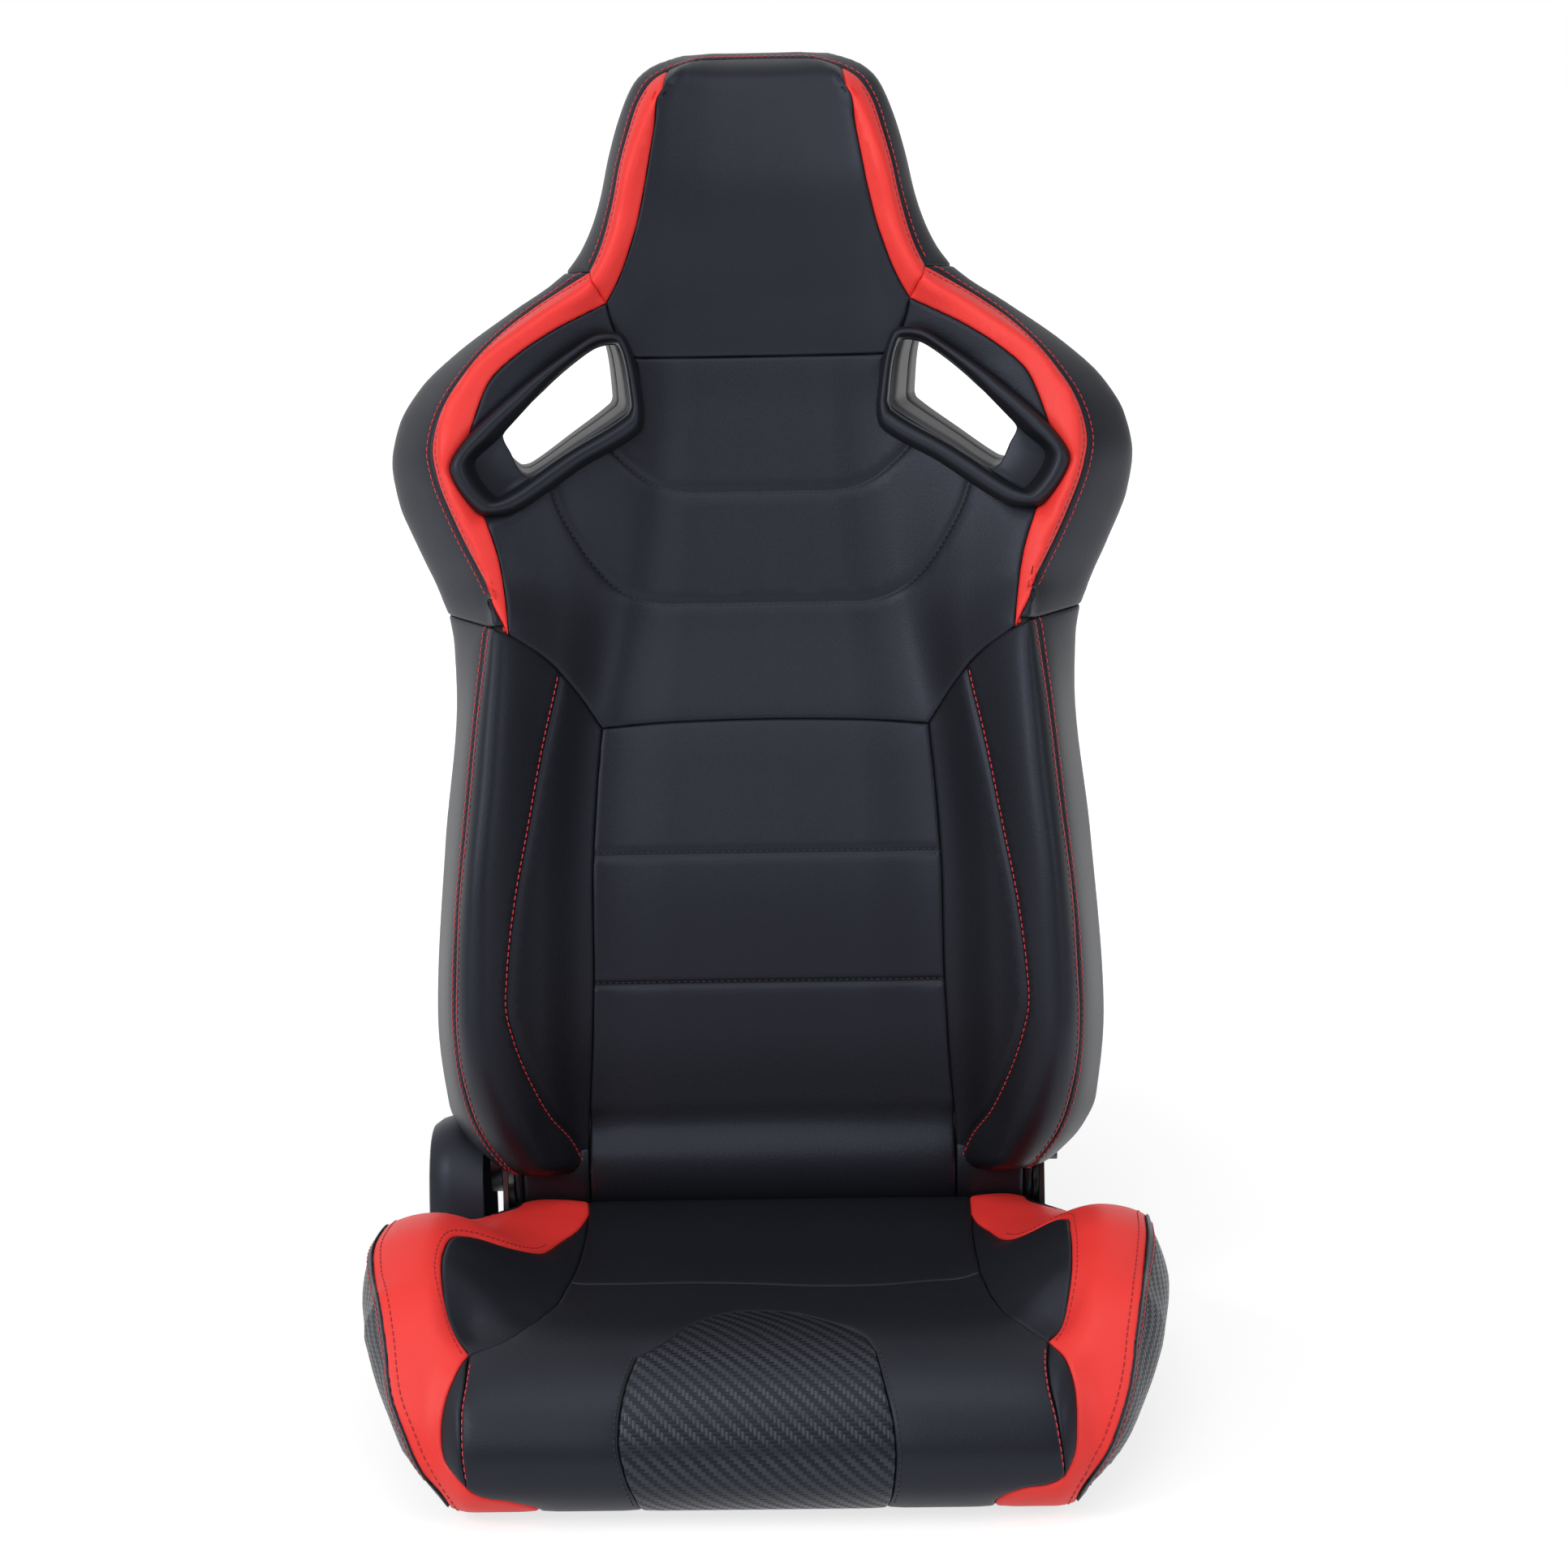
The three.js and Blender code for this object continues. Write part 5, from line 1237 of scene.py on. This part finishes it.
# A narrow black strip runs between each red bolster and its gusset, with stitches near its lower edge.
STRIP_WIDTH, STRIP_ROW = 9.5, 7.3
# Heights in mm: where the strip ends, the low edge of the sides, and the cloth over the rails.
STRIP_END, SIDE_LOW, FLOOR = 12, 3.5, 34


def rear_outer_seam(sign):
    """The top seam of the cushion's side where the photo doesn't show it, as (x, w) from rear to front."""
    seam = []
    for w in np.arange(CUSHION_START, 240, 8.0):
        x = 230.0
        inset = 1 + 10 * smoothstep(w, 90, 235)
        for _ in range(30):
            point = cushion_place(np.array([[x, w]]))[0]
            x = 0.5 * x + 0.5 * (float(side_half(point[1] - CUSHION_SHIFT, point[2])) - inset)
        seam.append((sign * x, w))
    return seam


class SEAT_OT_cushion(bpy.types.Operator):
    """Sews the cushion's centre, nose, vinyl patch, wedges and the dark insets in its bolsters"""

    bl_idname = "seat.cushion"
    bl_label = "Cushion"

    def execute(self, context):
        right, left = CUSHION_SEAMS["right"], CUSHION_SEAMS["left"]
        cross = trace(CROSS_SEAM)
        behind, behind_left = (np.array([point for point in rear_outer_seam(sign) if point[1] < PAD_END])
                               for sign in (1, -1))
        rear = straight(behind_left[0] + [1, 0], behind[0] - [1, 0], step=3)
        pad = Panel(cushion_skin, [joined(
            rear, behind, straight(behind[-1], right["centre"][0], step=3), trace(right["centre"]),
            cross[::-1], trace(left["centre"])[::-1], straight(left["centre"][0], behind_left[-1], step=3),
            behind_left[::-1], behind_left[:1])])
        sew_panel("cushion_pad_cover", pad, "black_leather", "base", ["cushion_pad"])
        top = trace(PATCH_TOP)
        patch_right = np.vstack([trace(PATCH_RIGHT)[:-1], straight(PATCH_RIGHT[-1], PATCH_END[0], step=3)])
        patch_left = np.vstack([straight(PATCH_END[1], PATCH[0], step=3)[:-1], trace(PATCH)])
        nose_right, nose_left = (joined(*(trace(seams[part]) for part in ("ear", "wedge", "foot")))
                                 for seams in (right, left))
        nose = Panel(cushion_skin, [joined(
            cross, nose_right, straight(right["foot"][-1], PATCH_END[0], step=3), patch_right[::-1], top[::-1],
            patch_left[::-1], straight(PATCH_END[1], left["foot"][-1], step=3),
            np.vstack([nose_left, left["foot"][-1:]])[::-1])])
        sew_panel("cushion_nose_cover", nose, "black_leather", "base", ["cushion_nose"])
        patch = Panel(cushion_skin, [joined(patch_left, top, patch_right, straight(*PATCH_END, step=3))],
                      roll=1.6, sink=0.8)
        sew_panel("nose_patch", patch, "carbon_vinyl", "base")
        for line in (patch_right[:-8], patch_left[8:]):
            stitches(patch, line, -3.2, **FINE_BLACK_EDGE)
        for side, seams in CUSHION_SEAMS.items():
            inset = joined(trace(seams["ear_outer"]), trace(seams["ear"])[::-1], ear_start(seams))
            sew_panel(f"cushion_inset_{side}", Panel(cushion_skin, [inset], sink=2.0), "black_leather", "base")
            wedge = Panel(cushion_skin, [joined(trace(seams["wedge_outer"]), trace(seams["wedge"])[::-1])])
            sew_panel(f"nose_wedge_{side}", wedge, "black_leather", "base")
            stitches(wedge, trace(seams["wedge"])[4:-3], SIDES[side] * 1.8, both=False)
        return {"FINISHED"}


def ear_start(seams):
    """The part of the centre seam that bounds the dark inset, from its front end back to where it starts."""
    line = trace(seams["centre"])
    first = seams["ear_outer"][0]
    return line[line[:, 1] > first[1]][::-1].tolist() + [list(first)]


class SEAT_OT_cushion_sides(bpy.types.Operator):
    """Sews the cushion's red bolsters and the carbon-look gussets down its sides"""

    bl_idname = "seat.cushion_sides"
    bl_label = "Cushion sides"

    def execute(self, context):
        edges = []
        for side, seams in CUSHION_SEAMS.items():
            sign = SIDES[side]
            seam_line = rear_outer_seam(sign) + seams["outer"]
            outer = trace([point for point in seam_line if point[1] > PAD_END], 3.0)
            inset = trace(seams["ear_outer"])
            start = [point for point in trace(seams["centre"]) if point[1] < seams["ear_outer"][0][1]]
            inner = np.vstack([start, inset[:-1], trace(seams["wedge_outer"])[:-1], trace(seams["foot"])])
            rear, foot = straight(outer[0], inner[0], step=3), straight(inner[-1], outer[-1], step=3)
            bolster = Panel(cushion_skin, [joined(rear, inner, foot, outer[::-1])])
            sew_panel(f"red_bolster_{side}", bolster, "red_leather", "base", [f"cushion_bolster_{side}"])
            stitches(bolster, outer[outer[:, 1] > 100], sign * 7.0, "crimson_thread", both=False)
            stitches(bolster, inset[inset[:, 1] > 190], sign * -5.0, "crimson_thread", both=False)
            self.gusset(side, sign, seam_line)
            edges.append(trace(seam_line, 4.0) - [sign * 4, 0])
        right, left = edges
        over, behind = straight(right[-1], left[-1], step=4), straight(left[0], right[0], step=4)
        line_with_foam("cushion_lining", cushion_skin, [joined(behind, right, over, left[::-1])], "base")
        self.underside()
        return {"FINISHED"}

    def underside(self):
        """The black cloth that closes the cushion below: low at the sides, over the rails in the middle."""
        along = np.linspace(-252, 120, 40)
        wall = 200.5
        columns = []
        for y in along:
            if y < -6:
                outer, inner, low = max(wall + 1, side_half(y, 4.0) - 7), wall, SIDE_LOW
            else:
                outer, inner, low = REAR_HALF - 6, REAR_HALF - 8, FLOOR
            half = [(outer, y, low), (inner, y, low), (inner, y, FLOOR)]
            columns.append([(-x, y, z) for x, y, z in half] + [(0, y, FLOOR)] + half[::-1])
        points = np.array(columns, float).reshape(-1, 3) + [0, CUSHION_SHIFT, 0]
        count = len(columns[0])
        faces = [[i * count + k, i * count + k + 1, (i + 1) * count + k + 1, (i + 1) * count + k]
                 for i in range(len(along) - 1) for k in range(count - 1)]
        cloth = add_mesh("cushion_underside", points, faces, MATERIALS["lining_cloth"], "base")
        thicken(cloth, LINING_THICKNESS)

    def gusset(self, side, sign, seam_line):
        """The side of the cushion below its outer seam, and the strip between them."""
        seam = cushion_place(trace(seam_line, 3.0)) * [sign, 1, 1]
        skin = Skin(side_place(seam))
        top = np.stack([seam[:, 1] - CUSHION_SHIFT, seam[:, 2]], 1)
        below = skin.beside(top, STRIP_WIDTH)
        # The strip is cut short near the floor, so that no corner stands out there.
        ends = np.flatnonzero(top[:, 1] > STRIP_END)
        above, under = top[ends[0]:ends[-1] + 1], below[ends[0]:ends[-1] + 1]
        strip = Panel(skin, [joined(above, np.array([above[-1], under[-1]]), under[::-1],
                                    np.array([under[0], above[0]]))], roll=1.1, sink=-0.2)
        lower = straight(below[-1], (-250, 2), (-24, 2), (-4, 33), below[0], step=3)
        gusset = Panel(skin, [joined(below, lower)])
        for name, panel, finish in (("strip", strip, "black_leather"), ("gusset", gusset, "carbon_vinyl")):
            sew_panel(f"cushion_{name}_{side}", panel, finish, "base", [f"cushion_side_{side}"],
                      mirror=sign < 0)
        stitches(strip, top[(top[:, 0] < -90) & (top[:, 1] > 30)], STRIP_ROW, both=False)
        if sign < 0:
            THREAD[-1] = flipped(THREAD[-1])


class SEAT_OT_threads(bpy.types.Operator):
    """Lays every noted row of stitches as thread"""

    bl_idname = "seat.threads"
    bl_label = "Threads"

    body: bpy.props.EnumProperty(
        name="Part", description="The part of the seat that the stitches are on",
        items=[("backrest", "Backrest", ""), ("base", "Base", "")], default="backrest")

    def execute(self, context):
        sew_threads(f"{self.body}_stitches", self.body, context.scene.seat_sizes.thread / 2 / MM)
        return {"FINISHED"}


# Corners closer than the first are one; edges sharper than the angle are eased by this much, in mm.
JOIN_DISTANCE, EASED_EDGE, SHARP_ANGLE = 0.01, 0.7, math.radians(38)


class SEAT_OT_metalwork(bpy.types.Operator):
    """Finishes the frame, springs, rails and recliner, and shades their rounded faces smooth"""

    bl_idname = "seat.metalwork"
    bl_label = "Frame and recliner"

    def execute(self, context):
        finishes = {"black_plastic": "moulded_abs", "black_steel": "powder_coat", "zinc_steel": "zinc_plate",
                    "spring_steel": "spring_wire"}
        for node in frame["nodes"].values():
            mesh = node.data
            slot = mesh.materials[0].name
            mesh.materials[0] = MATERIALS[finishes.get(slot, slot)]
            mesh.shade_smooth()
            if "custom_normal" in mesh.attributes:
                mesh.attributes.remove(mesh.attributes["custom_normal"])
            node.modifiers.new("joined corners", "WELD").merge_threshold = JOIN_DISTANCE * MM
            edges = node.modifiers.new("eased edges", "BEVEL")
            edges.width, edges.segments, edges.angle_limit = EASED_EDGE * MM, 2, SHARP_ANGLE
            node.modifiers.new("flat faces", "WEIGHTED_NORMAL")
        return {"FINISHED"}


def combined(tree, operation, first, second):
    """Two of a tree's values worked into one."""
    return add_node(tree, "ShaderNodeMath", links={0: first, 1: second}, operation=operation).outputs[0]


def eased(tree, value, start, end, low, high):
    """A smooth step from low, where value is start, to high, where it is end."""
    spans = {"From Min": start, "From Max": end, "To Min": low, "To Max": high}
    return add_node(tree, "ShaderNodeMapRange", spans, {"Value": value},
                    interpolation_type="SMOOTHSTEP").outputs[0]


def seen_directly(tree):
    """1 for what the camera sees, itself or in a reflection or through glass, and 0 for stray light."""
    path = add_node(tree, "ShaderNodeLightPath").outputs
    mirrored_or_through = combined(tree, "MAXIMUM", path["Is Glossy Ray"], path["Is Transmission Ray"])
    return combined(tree, "MAXIMUM", path["Is Camera Ray"], mirrored_or_through)


def studio_floor():
    """White paper: it shows white, and near the seat its own light gives way to the seat's shadow."""
    material = bpy.data.materials.new("white studio paper")
    tree = empty_tree(material)
    away = add_node(tree, "ShaderNodeVectorMath", links={0: object_space(tree)}, operation="LENGTH")
    glow = eased(tree, away.outputs["Value"], 0.35, 1.3, 0.74, 1.0)
    light = add_node(tree, "ShaderNodeEmission", {"Color": WHITE}, {"Strength": glow})
    shaded = add_node(tree, "ShaderNodeBsdfDiffuse", {"Color": linear("#a8a8a8")})
    shown = add_node(tree, "ShaderNodeAddShader", links={0: light.outputs[0], 1: shaded.outputs[0]})
    paper = add_node(tree, "ShaderNodeBsdfDiffuse", {"Color": linear("#e6e6e6")})
    both = add_node(tree, "ShaderNodeMixShader", links={0: seen_directly(tree), 1: paper.outputs[0],
                                                        2: shown.outputs[0]})
    add_node(tree, "ShaderNodeOutputMaterial", links={"Surface": both.outputs[0]})
    return material


def studio_world(room_light):
    """A white backdrop all around for the camera; in reflections the side in front of the seat is darker."""
    world = bpy.data.worlds.new("studio")
    tree = empty_tree(world)
    way = add_node(tree, "ShaderNodeSeparateXYZ",
                   links={0: add_node(tree, "ShaderNodeTexCoord").outputs["Generated"]}).outputs
    dimmed = combined(tree, "MULTIPLY", eased(tree, way["Y"], -0.75, 0.1, 0.14, 1.0),
                      eased(tree, way["X"], -0.2, 0.9, 1.0, 0.4))
    camera_ray = add_node(tree, "ShaderNodeLightPath").outputs["Is Camera Ray"]
    white = combined(tree, "MAXIMUM", dimmed, camera_ray)
    room = add_node(tree, "ShaderNodeBackground", {"Color": WHITE, "Strength": room_light})
    backdrop = add_node(tree, "ShaderNodeBackground", {"Color": WHITE}, {"Strength": white})
    both = add_node(tree, "ShaderNodeMixShader", links={0: seen_directly(tree), 1: room.outputs[0],
                                                        2: backdrop.outputs[0]})
    add_node(tree, "ShaderNodeOutputWorld", links={"Surface": both.outputs[0]})
    return world


# The soft boxes' places and sizes in metres and their power in watts: a key above the left shoulder, a weaker
# fill on the right, one overhead and one ahead. All point at the middle of the backrest.
LAMPS = {"key": ((-1.8, -1.7, 1.7), 1.1, 29), "fill": ((1.9, -1.5, 1.4), 1.1, 11),
         "top": ((0.0, -1.1, 2.3), 1.3, 13), "front": ((-0.5, -2.8, 1.8), 1.0, 12)}
LAMP_TARGET = (0, 0, 0.45)
# The floor lies a little under the seat's feet. The camera's distance and aim are in metres, its lens in mm.
FLOOR_HALF, FLOOR_DEPTH = 9, 0.0005
CAMERA_DISTANCE, CAMERA_TARGET, LENS = 3.0, (0.0165, 0.0003, 0.437), 96.26


class SEAT_OT_stage(bpy.types.Operator):
    """Sets the floor, the soft studio light and the camera"""

    bl_idname = "seat.stage"
    bl_label = "Stage"

    def execute(self, context):
        scene = context.scene
        mesh = bpy.data.meshes.new("floor")
        corners = [(x * FLOOR_HALF, y * FLOOR_HALF, -FLOOR_DEPTH)
                   for x, y in ((-1, -1), (1, -1), (1, 1), (-1, 1))]
        mesh.from_pydata(corners, [], [(0, 1, 2, 3)])
        mesh.materials.append(studio_floor())
        floor = bpy.data.objects.new("floor", mesh)
        scene.collection.objects.link(floor)
        scene.world = studio_world(scene.seat_sizes.room_light)
        for name, (place, size, power) in LAMPS.items():
            light = bpy.data.lights.new(name, "AREA")
            light.shape, light.size, light.energy = "SQUARE", size, power
            lamp = bpy.data.objects.new(name, light)
            aim = (Vector(LAMP_TARGET) - Vector(place)).to_track_quat("-Z", "Y")
            lamp.matrix_world = Matrix.Translation(place) @ aim.to_matrix().to_4x4()
            scene.collection.objects.link(lamp)
        scene.view_settings.view_transform = "Standard"
        self.camera(scene)
        return {"FINISHED"}

    def camera(self, scene):
        """The photograph's viewpoint: 3 m away, 15 degrees up and rolled a little."""
        elevation, azimuth, roll = (math.radians(angle) for angle in (15, 1.5, 1.3))
        back = np.array([math.sin(azimuth) * math.cos(elevation), -math.cos(azimuth) * math.cos(elevation),
                         math.sin(elevation)])
        across = np.array([math.cos(azimuth), math.sin(azimuth), 0])
        up = np.cross(back, across)
        right = across * math.cos(roll) - up * math.sin(roll)
        upright = across * math.sin(roll) + up * math.cos(roll)
        data = bpy.data.cameras.new("camera")
        data.sensor_width, data.lens = 36, LENS
        camera = bpy.data.objects.new("camera", data)
        place = CAMERA_TARGET + CAMERA_DISTANCE * back
        camera.matrix_world = Matrix([*np.stack([right, upright, back, place], 1).tolist(), [0, 0, 0, 1]])
        scene.collection.objects.link(camera)
        scene.camera = camera


# ---------- add-on ----------

class SeatSizes(bpy.types.PropertyGroup):
    """Sizes that a maker would change."""

    thread: bpy.props.FloatProperty(
        name="Thread", description="Thickness of the sewing thread", default=0.0009, min=0.0004, max=0.002,
        unit="LENGTH", precision=4)
    room_light: bpy.props.FloatProperty(
        name="Room light", description="Brightness of the light from all around", default=0.42, min=0, max=2)


def colour_property(name, description, hex_colour):
    """A colour that a maker would change."""
    return bpy.props.FloatVectorProperty(name=name, description=description, default=linear(hex_colour), size=4,
                                         subtype="COLOR", min=0, max=1)


class SeatColours(bpy.types.PropertyGroup):
    """Colours of the covers."""

    black_dark: colour_property("Black, dark", "The darker shade of the black leather", "#121317")
    black_light: colour_property("Black, light", "The lighter shade of the black leather", "#18191e")
    red_dark: colour_property("Red, dark", "The darker shade of the red leather", "#e0302c")
    red_light: colour_property("Red, light", "The lighter shade of the red leather", "#ea3b36")


STEPS = [SEAT_OT_finishes, SEAT_OT_metalwork, SEAT_OT_back_pads, SEAT_OT_bolsters, SEAT_OT_shoulders,
         SEAT_OT_headrest, SEAT_OT_rear, SEAT_OT_bezels, SEAT_OT_threads, SEAT_OT_cushion,
         SEAT_OT_cushion_sides, SEAT_OT_stage]


class SEAT_PT_panel(bpy.types.Panel):
    """Lists the seat's steps, sizes and colours"""

    bl_idname = "SEAT_PT_panel"
    bl_label = "Reclining sport seat"
    bl_space_type = "VIEW_3D"
    bl_region_type = "UI"
    bl_category = "Seat"

    def draw(self, context):
        for group in (context.scene.seat_sizes, context.scene.seat_colours):
            for name in type(group).__annotations__:
                self.layout.prop(group, name)
        for step in STEPS:
            self.layout.operator(step.bl_idname)


CLASSES = [SeatSizes, SeatColours, *STEPS, SEAT_PT_panel]


def register():
    for cls in CLASSES:
        bpy.utils.register_class(cls)
    bpy.types.Scene.seat_sizes = bpy.props.PointerProperty(type=SeatSizes)
    bpy.types.Scene.seat_colours = bpy.props.PointerProperty(type=SeatColours)


def unregister():
    del bpy.types.Scene.seat_colours
    del bpy.types.Scene.seat_sizes
    for cls in reversed(CLASSES):
        bpy.utils.unregister_class(cls)


def main():
    """Registers the add-on and makes the seat piece by piece."""
    register()
    bpy.ops.seat.finishes()
    bpy.ops.seat.metalwork()
    bpy.ops.seat.back_pads()
    bpy.ops.seat.bolsters()
    bpy.ops.seat.shoulders()
    bpy.ops.seat.headrest()
    bpy.ops.seat.rear()
    bpy.ops.seat.bezels()
    bpy.ops.seat.threads(body="backrest")
    bpy.ops.seat.cushion()
    bpy.ops.seat.cushion_sides()
    bpy.ops.seat.threads(body="base")
    bpy.ops.seat.stage()


if __name__ == "__main__":
    main()
